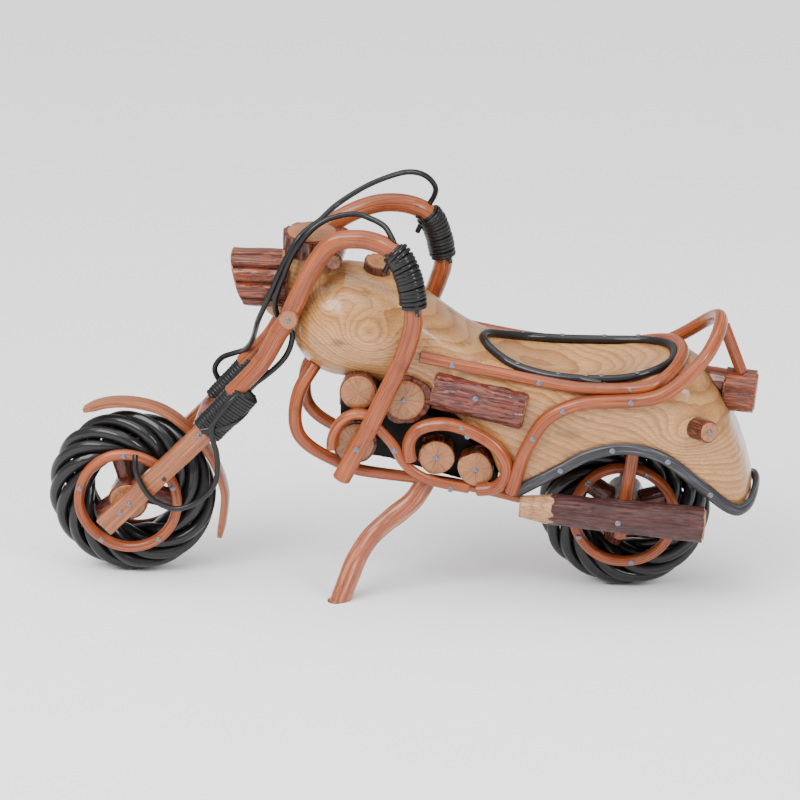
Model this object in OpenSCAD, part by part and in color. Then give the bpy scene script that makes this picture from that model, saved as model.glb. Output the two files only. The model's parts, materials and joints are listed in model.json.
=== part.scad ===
// Handmade ornament of a chopper motorcycle: carved wood, bent cane, bark logs and black-dyed reed.
// It leans to its left on two twisted-cane tyres and a crooked kickstand. Front is -X, its left is -Y.
// All sub-parts are set out on an upright bike, then stand() leans the whole of it.

/* [Stance] */
// Lean to the left onto the kickstand, in degrees
lean = 4; // [3:0.5:5]
// Shift along the length that centres the bike on its origin
centre_x = -0.3; // [-0.8:0.1:0.2]
// Shift to the side that centres the leaning bike on its origin
centre_y = 8.4; // [7.5:0.1:9.5]

/* [Wheels] */
// Front axle's distance in front of the origin
front_axle_x = 136; // [135.5:0.5:136.5]
// Rear axle's distance behind the origin
rear_axle_x = 113; // [112.5:0.5:113.5]
// Radius over the twisted tyre
wheel_r = 43; // [42.5:0.1:43.2]
// Radius of the tyre's bundle of canes
tyre_r = 12; // [11.6:0.1:12.1]
// Radius of the thin rim cane
rim_r = 2.7; // [2.4:0.1:2.8]
// Radius of each rim ring, to the cane's middle
rim_ring_r = 25; // [24.5:0.1:25]
// Distance of each rim ring from the wheel's middle
rim_y = 13.7; // [13.6:0.1:13.9]
// Hub log radius
hub_r = 10; // [9:0.5:11]
// Hub log length
hub_l = 30; // [26:1:33]
// Peeled axle dowel radius
axle_r = 5.5; // [5:0.1:6]
// Running clearance of the hub on its axle, all round
axle_gap = 0.08; // [0.05:0.01:0.1]
// Bark spoke radius
spoke_r = 5.5; // [5:0.1:6]

/* [Fork] */
// Distance between the inner faces of the two fork legs
fork_gap = 36; // [35.6:0.2:37]
// Fork leg width
leg_w = 10.5; // [9.5:0.5:11]
// Fork leg thickness
leg_t = 6; // [5:0.5:6.5]

/* [Bent canes] */
// Handlebar cane radius
bar_r = 4.6; // [4.2:0.1:4.7]
// Black grip winding radius
grip_r = 6.9; // [6.4:0.1:7.2]
// Engine cradle cane radius
cradle_r = 3.5; // [3.1:0.1:3.6]
// Side rail cane radius
rail_r = 2.9; // [2.6:0.1:3]
// Sissy bar cane radius
sissy_r = 3.4; // [3.1:0.1:3.5]
// Engine case loop cane radius
loop_r = 3.3; // [3:0.1:3.4]
// Diagonal brace cane radius
brace_r = 2.5; // [2.2:0.1:2.6]
// Black seat ring radius
seat_ring_r = 2; // [1.8:0.1:2.2]
// Brake cable reed radius
cable_r = 1.4; // [1.2:0.1:1.5]
// Kickstand branch radius
kick_r = 5.1; // [4.8:0.1:5.4]

/* [Logs] */
// Headlight log radius
headlight_r = 14.6; // [14:0.1:15]
// Speedometer slice radius
speedo_r = 14.2; // [13.5:0.1:14.5]
// Tail light log radius
tail_light_r = 10.8; // [10:0.1:11]
// Turn signal radius
signal_r = 5.7; // [5.3:0.1:6]
// Muffler radius at its rear end
muffler_r = 9.1; // [8.6:0.1:9.2]

/* [Nails] */
// Nail head radius
nail_r = 1.4; // [1.2:0.1:1.5]
// Height of a nail head over the wood
nail_h = 0.7; // [0.5:0.1:0.8]

/* [Hidden] */
$fn = 64;

front_axle = [-front_axle_x, 0, wheel_r];
rear_axle = [rear_axle_x, 0, wheel_r];
ring_r = wheel_r - tyre_r;
leg_y = fork_gap / 2 + leg_t / 2;
strut_r = 3.2;
slot_half = fork_gap / 2 + 2 * strut_r;
arch_r = 43;
slot_r = 47;
tank = [-25, 0, 138.5];
tank_r = 28.7;
front_spoke_angles = [105, 217, 350];
rear_spoke_angles = [148, 255, 18];

// ---- shared shapes ----

function unit(v) = v / norm(v);
function mirrored(p) = [for (q = p) [q[0], -q[1], q[2]]];
function reversed(p) = [for (i = [len(p) - 1 : -1 : 0]) p[i]];
function blend(a, b, t) = a + (b - a) * t;

// a point between p[1] and p[2] on the smooth curve through four points
function curve(p, t) = 0.5 * (2 * p[1] + (p[2] - p[0]) * t
    + (2 * p[0] - 5 * p[1] + 4 * p[2] - p[3]) * t * t
    + (3 * p[1] - p[0] - 3 * p[2] + p[3]) * t * t * t);
function near(p, i) = p[max(0, min(len(p) - 1, i))];
function around(p, i) = p[(i + len(p)) % len(p)];
function open_line(p, per) = [for (i = [0 : len(p) - 2]) for (j = [0 : per - 1])
    curve([near(p, i - 1), p[i], p[i + 1], near(p, i + 2)], j / per), p[len(p) - 1]];
function ring_line(p, per) = [for (i = [0 : len(p) - 1]) for (j = [0 : per - 1])
    curve([around(p, i - 1), p[i], around(p, i + 1), around(p, i + 2)], j / per)];
function headings(c, closed) = [for (i = [0 : len(c) - 1])
    closed ? unit(around(c, i + 1) - around(c, i - 1)) : unit(near(c, i + 1) - near(c, i - 1))];
function square_to(v, t) = unit(v - (v * t) * t);
function carried(t, v, i = 0) = i == len(t) ? [] :
    let (w = square_to(v, t[i])) concat([w], carried(t, w, i + 1));

// a bent stick along c; a is its half size along side, b across it, each a number or [start, end]
module bent(c, a, b, side, sides = 10, closed = false) {
    m = len(c);
    t = headings(c, closed);
    n = closed ? [for (h = t) square_to(side, h)] : carried(t, side);
    function part_way(s, i) = is_num(s) ? s : blend(s[0], s[1], i / (m - 1));
    points = [for (i = [0 : m - 1]) for (k = [0 : sides - 1]) let (g = 360 * (k + 0.5) / sides)
        c[i] + part_way(a, i) * cos(g) * n[i] + part_way(b, i) * sin(g) * cross(t[i], n[i])];
    walls = [for (i = [0 : (closed ? m - 1 : m - 2)]) for (k = [0 : sides - 1])
        let (i0 = i * sides, i1 = ((i + 1) % m) * sides, k1 = (k + 1) % sides)
        each [[i0 + k, i1 + k1, i0 + k1], [i0 + k, i1 + k, i1 + k1]]];
    ends = closed ? [] : [[for (k = [0 : sides - 1]) k],
        [for (k = [sides - 1 : -1 : 0]) (m - 1) * sides + k]];
    polyhedron(points, concat(walls, ends));
}

// a straight round stick from p to q
module stick(p, q, r) {
    d = q - p;
    translate(p) rotate([0, acos(d[2] / norm(d)), atan2(d[1], d[0])]) cylinder(r = r, h = norm(d));
}

// a bark log from p to q, its peeled core standing a little proud of the bark at both ends
module log(p, q, r, bark = 1.2, proud = 0.5) {
    d = unit(q - p);
    stick(p + d * proud, q - d * proud, r);
    stick(p, q, r - bark);
}

// a nail whose head lies on the wood at p; the shank runs the opposite way to out
module nail(p, out, shank = 5) {
    u = unit(out);
    stick(p - u * 0.3, p + u * nail_h, nail_r);
    stick(p - u * shank, p, nail_r / 2);
}

module stand() {
    translate([centre_x, centre_y, tyre_r]) rotate([lean, 0, 0]) translate([0, 0, -tyre_r]) children();
}

module both_sides() {
    children();
    mirror([0, 1, 0]) children();
}

// ---- carved body ----

// section rows behind the tank's widest place: x, top, bottom, half width, squareness, saddle dish
body_rows = [
    [-25, 167.2, 109.8, 28.7, 2.0, 0],
    [-8, 164.8, 106, 28.2, 2.0, 0],
    [8, 156.5, 102, 27.2, 2.2, 0],
    [22, 144.6, 97, 27.2, 2.5, 0],
    [34, 134.8, 90, 28.4, 3.2, 0],
    [46, 128, 78, 30.4, 4.2, 1.5],
    [62, 123.2, 42, 32.6, 5.4, 4.5],
    [82, 121, 40, 34.4, 6.0, 6.6],
    [104, 121, 40, 35, 6.0, 6.0],
    [122, 122, 40, 34.6, 5.4, 2.2],
    [136, 122.6, 40, 33, 4.6, 0],
    [146, 120, 40, 31.2, 4.0, 0],
    [156, 110.5, 40, 28.8, 3.5, 0],
    [165, 94, 41, 25.4, 3.0, 0],
    [172, 76.5, 43, 19.4, 2.6, 0],
    [175.6, 64, 48, 9, 2.2, 0]];
row_count = len(body_rows);

function row_slope(i, k) = let (a = near(body_rows, i - 1), b = near(body_rows, i + 1))
    (b[k] - a[k]) / (b[0] - a[0]);
function row_of(x, i = 0) = i >= row_count - 2 || x < body_rows[i + 1][0] ? i : row_of(x, i + 1);
// value k of the smooth curve through the rows, at x
function profile(x, k) = let (i = row_of(x), p = body_rows[i], q = body_rows[i + 1],
    w = q[0] - p[0], t = (x - p[0]) / w)
    p[k] * (1 + 2 * t) * (1 - t) * (1 - t) + q[k] * t * t * (3 - 2 * t)
    + w * row_slope(i, k) * t * (1 - t) * (1 - t) - w * row_slope(i + 1, k) * t * t * (1 - t);
function nose(x) = sqrt(max(0, tank_r * tank_r - (x - tank[0]) * (x - tank[0])));
// one section: top, bottom, half width, squareness, dish
function section(x) = x <= tank[0] ? [tank[2] + nose(x), tank[2] - nose(x), nose(x), 2, 0]
    : [for (k = [1 : 5]) profile(x, k)];
// the carved side's distance from the middle plane at height z
function flank(x, z) = let (s = section(x), m = (s[0] + s[1]) / 2, h = (s[0] - s[1]) / 2)
    s[2] * pow(max(0, 1 - pow(min(1, abs(z - m) / h), s[3])), 1 / s[3]);
function dip(s, y) = s[4] * pow(max(0, 1 - pow(y / (0.86 * s[2]), 2)), 1.5);
// the carved top's height at x, y
function top_at(x, y) = let (s = section(x), m = (s[0] + s[1]) / 2, h = (s[0] - s[1]) / 2)
    m + h * pow(max(0, 1 - pow(abs(y) / s[2], s[3])), 1 / s[3]) - dip(s, y);

station_x = concat([for (a = [10 : 11 : 87]) tank[0] - tank_r * cos(a)],
    [for (x = [-25 : 6 : 149]) x], [for (a = [0 : 15 : 90]) 153 + 22.6 * sin(a)]);
around_n = 40;
function section_ring(x) = let (s = section(x), m = (s[0] + s[1]) / 2, h = (s[0] - s[1]) / 2)
    [for (k = [0 : around_n - 1])
        let (g = 360 * k / around_n, c = cos(g), v = sin(g),
            far = pow(pow(abs(c), s[3]) + pow(abs(v), s[3]), -1 / s[3]),
            y = s[2] * far * c)
        [x, y, m + h * far * v - (v > 0 ? dip(s, y) : 0)]];

module body_blank() {
    m = len(station_x);
    points = [for (x = station_x) each section_ring(x)];
    walls = [for (i = [0 : m - 2]) for (k = [0 : around_n - 1])
        let (i0 = i * around_n, i1 = i0 + around_n, k1 = (k + 1) % around_n)
        each [[i0 + k, i1 + k1, i0 + k1], [i0 + k, i1 + k, i1 + k1]]];
    polyhedron(points, concat(walls, [[for (k = [0 : around_n - 1]) k],
        [for (k = [around_n - 1 : -1 : 0]) (m - 1) * around_n + k]]));
}

module body() {
    color("burlywood") stand() difference() {
        body_blank();
        // arch over the rear wheel, the deeper wheel slot, and the skirt's lower edges
        translate(rear_axle) rotate([90, 0, 0]) cylinder(r = arch_r, h = 90, center = true);
        translate(rear_axle) rotate([90, 0, 0]) cylinder(r = slot_r, h = 2 * slot_half, center = true);
        translate([0, 45, 0]) rotate([90, 0, 0]) linear_extrude(height = 90)
            polygon([[50, 57], [60, 60], [82, 73], [113, 60], [146, 70], [169, 50.5], [190, 50.5],
                [190, 20], [50, 20]]);
        // seats for the head block and its peg
        neck();
        peg();
    }
}

module fuel_cap() {
    color("sandybrown") stand() difference() {
        log([-11, -1, 159.5], [-9.3, -4, 170], 6.9, 1);
        body_blank();
    }
}

// ---- head: fork, lamp, bars ----

module neck() {
    stick([-57.5, 0, 140], [-48, 0, 172.6], 8.6);
}
module spacer() {
    stick([-29.5, -21.6, 174.5], [-29.5, 21.6, 174.5], 4.4);
}
module peg() {
    stick([-51, -28.5, 146.5], [-51, 28.5, 146.5], 4.9);
}

module headlight() {
    color("sienna") stand() difference() {
        log([-81.5, 0, 159], [-53, 0, 158.5], headlight_r, 1.6);
        neck();
        peg();
        // the lamp's face is sawn at a slant
        translate([-81.5, 0, 164]) rotate([0, -14, 0]) translate([-20, 0, 0])
            cube([40, 40, 80], center = true);
    }
}

module head_block() {
    color("burlywood") stand() difference() {
        neck();
        peg();
    }
}

module speedometer() {
    color("sandybrown") stand() difference() {
        log([-42.5, -1, 172.6], [-42, -2, 183.8], speedo_r, 2.2);
        neck();
        spacer();
    }
}

module head_peg() {
    color("peru") stand() peg();
}

module bar_spacer() {
    color("sienna") stand() spacer();
}

bar_left = [[-81, -21.5, 105], [-66, -21, 121], [-57, -21.5, 137], [-51.5, -22.5, 146], [-42.5, -24.5, 166],
    [-31, -26, 184], [-19, -26.5, 188], [-7, -27.5, 186.5], [3, -30.5, 181], [9, -33.5, 168],
    [10.5, -35, 155],
    [9.5, -35, 144], [4.5, -34.5, 129], [-4, -33.5, 110], [-14, -33, 89], [-26, -33, 66]];
bar_right = [[-81, 21.5, 105], [-66, 21, 121], [-57, 21.5, 137], [-51.5, 22.5, 146], [-45, 23.5, 165],
    [-37, 24.5, 177.5], [-19, 26, 187.5], [-4, 28.5, 189.5], [9.5, 31, 185.5], [16, 33.5, 176],
    [19.5, 35, 159],
    [17.5, 35, 149], [13, 35, 137], [4, 34, 115], [-8, 33, 92], [-20, 33, 69]];
module bar(line) {
    bent(open_line(line, 2), bar_r, bar_r, [0, 1, 0], 12);
}
module handlebar_left() {
    color("peru") stand() bar(bar_left);
}
module handlebar_right() {
    color("peru") stand() bar(bar_right);
}

// the winding covers the bar from its ninth to its eleventh point
module grip_wrap_left() {
    color("black") stand() difference() {
        bent([for (i = [8 : 0.5 : 10]) open_line(bar_left, 2)[i * 2]], grip_r, grip_r, [0, 1, 0], 16);
        bar(bar_left);
    }
}
module grip_wrap_right() {
    color("black") stand() difference() {
        bent([for (i = [8.5 : 0.5 : 10]) open_line(bar_right, 2)[i * 2]], grip_r, grip_r, [0, 1, 0], 16);
        bar(bar_right);
    }
}

// each fork leg is a flat stick at 45 degrees, past the axle at its lower end
leg_low = 16;
leg_high = 78;
module leg() {
    translate([front_axle[0], leg_t / 2, front_axle[2]]) rotate([90, -45, 0])
        linear_extrude(height = leg_t) polygon([[-leg_low, -leg_w / 2], [leg_high - 3, -leg_w / 2],
            [leg_high + 3, leg_w / 2], [-leg_low, leg_w / 2]]);
}
module fork_leg_left() {
    color("peru") stand() translate([0, -leg_y, 0]) leg();
}
module fork_leg_right() {
    color("peru") stand() translate([0, leg_y, 0]) leg();
}

cross_at = [-97.5, 0, 83];
module fork_cross_stick() {
    color("sienna") stand() stick(cross_at - [0, fork_gap / 2, 0], cross_at + [0, fork_gap / 2, 0], 5);
}

lash_line = [[-95, -21.2, 85.5], [-84, -21.2, 95.5], [-73, -21.4, 106.5]];
module lashing() {
    difference() {
        bent(open_line(lash_line, 2), [5, 5.8], [6.8, 7.8], [0, 1, 0], 14);
        translate([0, -leg_y, 0]) leg();
        bar(bar_left);
    }
}
module lashing_left() {
    color("black") stand() lashing();
}
module lashing_right() {
    color("black") stand() mirror([0, 1, 0]) lashing();
}

cable_left = [[1, -30, 187], [-3.5, -26, 194], [-12, -21, 197], [-20, -17, 197.5], [-32, -14.5, 194],
    [-41, -16.5, 188], [-49, -17.5, 177.5], [-54, -18.2, 166], [-58.5, -18.6, 153], [-57, -15.5, 143],
    [-51, -15, 136], [-53, -15, 125.5], [-59.5, -15.2, 117], [-70, -18, 109], [-79, -26.6, 104.5],
    [-90, -28.5, 90], [-88, -28, 76], [-89, -27.5, 60.5], [-97.5, -27, 50], [-110, -27, 45],
    [-122.5, -26.6, 51], [-129, -25, 63], [-130, -21, 71]];
cable_right = [[14, 31, 190], [16.5, 28.5, 197], [12, 25, 204.5], [2, 21, 207.5], [-15, 12, 203.5],
    [-30, 4, 195.5], [-37, -5, 190.5], [-46, -14.5, 185], [-54.5, -17.2, 171], [-60, -17.4, 158],
    [-68, -12, 140],
    [-73, 4, 125], [-80, 20, 113], [-92, 28, 106], [-96.5, 28.5, 98.5], [-92, 27.5, 90]];
module brake_cable_left() {
    color("black") stand() bent(open_line(cable_left, 2), cable_r, cable_r, [0, 1, 0], 8);
}
module brake_cable_right() {
    color("black") stand() bent(open_line(cable_right, 2), cable_r, cable_r, [0, 1, 0], 8);
}

fender_line = [[-159, 0, 86.4], [-148, 0, 90.2], [-135, 0, 91], [-121, 0, 88], [-109.8, 0, 81],
    [-100, 0, 71], [-92.5, 0, 57.5], [-88.6, 0, 41], [-92, 0, 19]];
module front_fender() {
    color("sienna") stand() bent(open_line(fender_line, 2), [5.4, 4.6], 2.3, [0, 1, 0], 10);
}

// ---- engine and its canes ----

cradle_line = [[-40, -13, 118.5], [-47, -17.5, 107], [-49.5, -20, 95], [-48, -21, 85], [-41.5, -21, 77.5],
    [-30, -21, 71], [-19, -21, 66.5], [-2, -21, 64.2], [20, -21, 61.8], [42, -21, 58.2], [62, -21, 53.5]];
module cradle() {
    bent(open_line(cradle_line, 2), [cradle_r, cradle_r * 0.8], [cradle_r, cradle_r * 0.7], [0, 1, 0], 10);
}
module cradle_left() {
    color("sienna") stand() cradle();
}
module cradle_right() {
    color("sienna") stand() mirror([0, 1, 0]) cradle();
}

block_half = 19;
module engine_block() {
    color("dimgray") stand() translate([0, block_half, 0]) rotate([90, 0, 0])
        linear_extrude(height = 2 * block_half) polygon([[-27, 108], [-28, 80], [-20, 74], [-4, 72],
            [12, 67.5], [30, 62.5], [50, 59.5], [51, 66],
            [44, 76], [33, 87], [21, 94.5], [8, 99.3], [-8, 103.3], [-17, 107]]);
}

// each engine log pair is two slices, one on each side of the block
face_y = 28.5;
module slices(x, z, r, bark, y1 = face_y) {
    both_sides() log([x, -block_half, z], [x, -y1, z], r, bark, 0.6);
}
module upper_front_logs() {
    color("tan") stand() difference() {
        slices(-17.5, 109.5, 9.4, 0.8, 27.5);
        body_blank();
    }
}
module upper_rear_logs() {
    color("tan") stand() difference() {
        slices(5, 106.5, 13.4, 3.2);
        body_blank();
    }
}
module lower_front_logs() {
    color("tan") stand() slices(-19.8, 83.5, 11.4, 1.4);
}
module case_front_logs() {
    color("tan") stand() slices(21, 77.2, 9.6, 0.9, 30);
}
module case_rear_logs() {
    color("tan") stand() slices(40, 71.6, 9.6, 0.9, 30);
}

arch_line = [[-30.5, -30.5, 81], [-29.8, -30.5, 87.5], [-26, -30.5, 95], [-19, -30.5, 99.5],
    [-10, -30.5, 98.5]];
module header_arches() {
    color("sienna") stand() both_sides() bent(open_line(arch_line, 3), 3.3, 2.8, [0, 1, 0], 10);
}

loop_line = [[8.5, -31.5, 76], [7.5, -31.5, 84], [10.5, -31.5, 91], [17.5, -31.5, 95], [28, -32, 95.8],
    [40, -33, 92], [50, -34.2, 86], [55.5, -34.8, 77.5], [54.8, -34, 69], [49.5, -32.2, 63.2],
    [41, -30.5, 61.4]];
module case_loop() {
    bent(open_line(loop_line, 2), loop_r, loop_r, [0, 1, 0], 10);
}
module case_loop_left() {
    color("sienna") stand() case_loop();
}
module case_loop_right() {
    color("sienna") stand() mirror([0, 1, 0]) case_loop();
}

brace_line = [[-9, -31.3, 94.5], [-0.5, -31.3, 84.8], [6, -31.3, 74], [17.5, -30.5, 66], [37, -28.5, 61]];
module braces() {
    color("sienna") stand() both_sides() bent(open_line(brace_line, 3), brace_r, brace_r, [0, 1, 0], 8);
}

// bark slabs let into the flanks above the engine
module side_logs() {
    color("saddlebrown") stand() both_sides() difference() {
        log([19.5, -24.5, 112.4], [65, -29.5, 103.8], 10.2, 1.2);
        translate([43, -22.1, 108]) rotate([0, 0, -7.3]) cube([70, 16, 60], center = true);
    }
}

kick_line = [[15, -19.5, 61], [8.5, -23, 51.5], [-2, -26, 43], [-11.6, -29, 34.5], [-18.2, -31.5, 24.5],
    [-22.2, -34, 15], [-25.4, -36.5, 4], [-27.7, -38.5, -5]];
module kickstand() {
    color("peru") difference() {
        stand() bent(open_line(kick_line, 2), [kick_r, kick_r * 1.05], [kick_r, kick_r * 1.05],
            [0, 1, 0], 14);
        translate([-80, -80, -30]) cube([120, 120, 30]);
    }
}

// ---- seat, rails and tail ----

// a cane's middle line laid against the flank, from its x and height
function on_flank(x, z, r) = [x, -flank(x, z) - r + 0.3, z];
rail_half = concat([[13, -28.8, 129.5]],
    [for (p = [[29, 126.5], [50, 122.5], [71, 119], [92, 117], [112, 117.3]]) on_flank(p[0], p[1], rail_r)],
    [[125, -33, 119.2], [134, -24, 122.6], [138.5, -12, 124.6], [140, 0, 125]]);
rail_line = concat(rail_half, mirrored(reversed([for (i = [0 : len(rail_half) - 2]) rail_half[i]])));
module side_rail() {
    color("sienna") stand() bent(open_line(rail_line, 2), rail_r, rail_r, [0, 1, 0], 8);
}

sissy_half = concat([for (p = [[58, 62], [61, 73], [64, 83], [68.5, 92.5], [73.5, 100.5], [81, 106.5],
    [92, 110.6], [106, 111.8], [118, 112.6]]) on_flank(p[0], p[1], sissy_r)],
    [[128, -37, 115], [137, -35, 120], [145, -30.5, 126.5], [152, -24, 133.5], [156.5, -13, 139.5],
    [158, 0, 142]]);
sissy_line = concat(sissy_half, mirrored(reversed([for (i = [0 : len(sissy_half) - 2]) sissy_half[i]])));
module sissy_bar() {
    color("sienna") stand() bent(open_line(sissy_line, 2), sissy_r, sissy_r, [0, 1, 0], 8);
}

seat_half = [[42, 5], [48, 13], [60, 22.5], [80, 27.5], [101, 28.5], [118, 26.5], [130, 18.5], [135.5, 8]];
seat_outline = concat([for (p = seat_half) [p[0], -p[1]]], [for (i = [len(seat_half) - 1 : -1 : 0])
    [seat_half[i][0], seat_half[i][1]]]);
seat_line = [for (p = seat_outline) [p[0], p[1], top_at(p[0], p[1]) + seat_ring_r - 0.5]];
module seat_ring() {
    color("black") stand() bent(ring_line(seat_line, 3), seat_ring_r, seat_ring_r, [0, 0, 1], 8, true);
}

trim_half = concat([for (p = [[60, 61.5], [71, 68.5], [82, 75.2], [94, 82.5], [107, 86.7],
    [119, 86.7], [130, 83.2], [138, 77.8], [146, 70.5], [155, 62.5], [162, 56]]) [p[0], -flank(p[0], max(p[1], 62)) - 1.2, p[1]]],
    [[169, -25, 52], [174.5, -19, 53.5], [177.2, -10, 57], [178, 0, 59]]);
trim_line = concat(trim_half, mirrored(reversed([for (i = [0 : len(trim_half) - 2]) trim_half[i]])));
module fender_trim() {
    color("black") stand() bent(open_line(trim_line, 2), 1.8, 3, [0, 1, 0], 8);
}

module tail_log() {
    log([160.5, 0.8, 106], [176.6, -0.8, 104.8], tail_light_r, 1.6);
}
module tail_light() {
    color("saddlebrown") stand() difference() {
        tail_log();
        body_blank();
    }
}

module tail_bracket() {
    color("saddlebrown") stand() difference() {
        stick([151.5, -2, 112], [161.5, 0.5, 110], 7.2);
        // its inner end is cut at a slant, facing the left
        translate([151.5, -6, 113]) rotate([0, -8, 40]) translate([-10, 0, 0]) cube([20, 40, 40],
            center = true);
        body_blank();
        tail_log();
    }
}

module tail_stay() {
    color("sienna") stand() difference() {
        stick([159.6, -0.5, 139.5], [169.6, 0, 113.5], 2.9);
        tail_log();
    }
}

module turn_signal() {
    log([144, -25, 96], [153.6, -37.2, 97.4], signal_r, 0.9, 0.4);
}
module turn_signal_left() {
    color("peru") stand() difference() {
        turn_signal();
        body_blank();
    }
}
module turn_signal_right() {
    color("peru") stand() difference() {
        mirror([0, 1, 0]) turn_signal();
        body_blank();
    }
}

module muffler() {
    color("saddlebrown") stand() {
        translate([62, -33.8, 54.6]) rotate([0, 94.6, 0]) {
            cylinder(r1 = 5.3, r2 = 7.2, h = 13);
            translate([0, 0, 13]) cylinder(r1 = 7.6, r2 = muffler_r, h = 78);
        }
    }
}

// ---- what holds the wheels ----

module strut() {
    stick([118, -fork_gap / 2 - strut_r, 88.5], [111.2, -fork_gap / 2 - strut_r, 34], strut_r);
}
module rear_strut_left() {
    color("sienna") stand() strut();
}
module rear_strut_right() {
    color("sienna") stand() mirror([0, 1, 0]) strut();
}

module axle(at) {
    translate(at) rotate([90, 0, 0]) cylinder(r = axle_r, h = fork_gap, center = true);
}
module front_axle() {
    color("tan") stand() axle(front_axle);
}
module rear_axle() {
    color("tan") stand() axle(rear_axle);
}

// ---- wheels ----

module tyre(at) {
    translate(at) rotate([90, 0, 0]) rotate_extrude() translate([ring_r, 0]) circle(r = tyre_r);
}
module rims(at) {
    translate(at) rotate([90, 0, 0]) for (s = [-1, 1])
        translate([0, 0, s * rim_y]) rotate_extrude() translate([rim_ring_r, 0]) circle(r = rim_r);
}
module hub(at) {
    translate(at) rotate([90, 0, 0]) difference() {
        union() {
            cylinder(r = hub_r, h = hub_l - 1, center = true);
            cylinder(r = hub_r - 1, h = hub_l, center = true);
        }
        cylinder(r = axle_r + axle_gap, h = hub_l + 2, center = true);
    }
}
module spokes(at, angles) {
    translate(at) difference() {
        for (g = angles)
            rotate([0, 90 - g, 0]) translate([0, 0, hub_r - 3])
                cylinder(r = spoke_r, h = ring_r - hub_r - 6.5);
        rotate([90, 0, 0]) cylinder(r = hub_r, h = 3 * hub_r, center = true);
    }
}
module wheel_nails(at, first) {
    for (s = [-1, 1]) for (k = [0 : 4]) let (g = first + 72 * k + 20 * s)
        nail(at + [rim_ring_r * cos(g), s * (rim_y + rim_r), rim_ring_r * sin(g)], [0, s, 0], 7);
}

module front_tyre() {
    color("black") stand() tyre(front_axle);
}
module front_rims() {
    color("sienna") stand() rims(front_axle);
}
module front_hub() {
    color("tan") stand() hub(front_axle);
}
module front_spokes() {
    color("saddlebrown") stand() spokes(front_axle, front_spoke_angles);
}
module front_wheel_nails() {
    color("silver") stand() wheel_nails(front_axle, 40);
}
module rear_tyre() {
    color("black") stand() tyre(rear_axle);
}
module rear_rims() {
    color("sienna") stand() rims(rear_axle);
}
module rear_hub() {
    color("tan") stand() hub(rear_axle);
}
module rear_spokes() {
    color("saddlebrown") stand() spokes(rear_axle, rear_spoke_angles);
}
module rear_wheel_nails() {
    color("silver") stand() wheel_nails(rear_axle, 12);
}

// ---- nails of the frame ----

leg_face = fork_gap / 2 + leg_t;
function rail_nail(x, z, r) = [x, -flank(x, z) - 2 * r + 0.3, z];
// nails that both sides have, as places on the left
paired_nails = [
    [cross_at[0], -leg_face, cross_at[2]],
    front_axle + [2.4, -leg_face, 2.4], front_axle + [-2.4, -leg_face, -2.4],
    [-51, -28.5, 146.5],
    [-17.4, -37.6, 83.6], [5, -face_y, 106.5], [21, -30, 77.2], [40, -30, 71.6],
    [33.8, -35.2, 95.4], [36.6, -35.4, 91.2], [0.8, -33.8, 82], [28, -31.8, 61.6],
    [40.5, -36.6, 111.4],
    rail_nail(29, 126.5, rail_r), rail_nail(71, 119, rail_r), rail_nail(115, 117.6, rail_r),
    rail_nail(68.5, 92.5, sissy_r), rail_nail(115.5, 112.5, sissy_r), rail_nail(83, 107.4, sissy_r),
    [82, -flank(82, 75.2) - 3, 75.2], [107, -flank(107, 86.7) - 3, 86.7], [134, -flank(134, 81) - 3, 81],
    [155, -flank(155, 62.5) - 3, 62.5],
    [113, -fork_gap / 2 - 2 * strut_r, 48]];
module frame_nails() {
    color("silver") stand() {
        both_sides() for (p = paired_nails) nail(p, [0, -1, 0]);
        both_sides() nail([153.6, -37.2, 97.4], [9.6, -12.2, 1.4], 8);
        nail([110.5, -42.2, 50.6], [0, -1, 0], 14);
        for (p = seat_line) if (p[0] > 55 && p[0] < 120) nail(p + [0, 0, seat_ring_r], [0, 0, 1]);
    }
}

body();
fuel_cap();
headlight();
head_block();
speedometer();
head_peg();
bar_spacer();
handlebar_left();
handlebar_right();
grip_wrap_left();
grip_wrap_right();
fork_leg_left();
fork_leg_right();
fork_cross_stick();
lashing_left();
lashing_right();
brake_cable_left();
brake_cable_right();
front_fender();
cradle_left();
cradle_right();
engine_block();
upper_front_logs();
upper_rear_logs();
lower_front_logs();
case_front_logs();
case_rear_logs();
header_arches();
case_loop_left();
case_loop_right();
braces();
side_logs();
kickstand();
side_rail();
sissy_bar();
seat_ring();
fender_trim();
tail_light();
tail_bracket();
tail_stay();
turn_signal_left();
turn_signal_right();
muffler();
rear_strut_left();
rear_strut_right();
front_axle();
rear_axle();
frame_nails();
front_tyre();
front_rims();
front_hub();
front_spokes();
front_wheel_nails();
rear_tyre();
rear_rims();
rear_hub();
rear_spokes();
rear_wheel_nails();
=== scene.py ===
"""Looks of the bentwood motorcycle: every stick, log, cane and winding is rebuilt around its CAD solid."""

import json
import math
from collections import namedtuple

import bmesh
import bpy
import numpy as np
from mathutils import Matrix, Vector, noise


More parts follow.
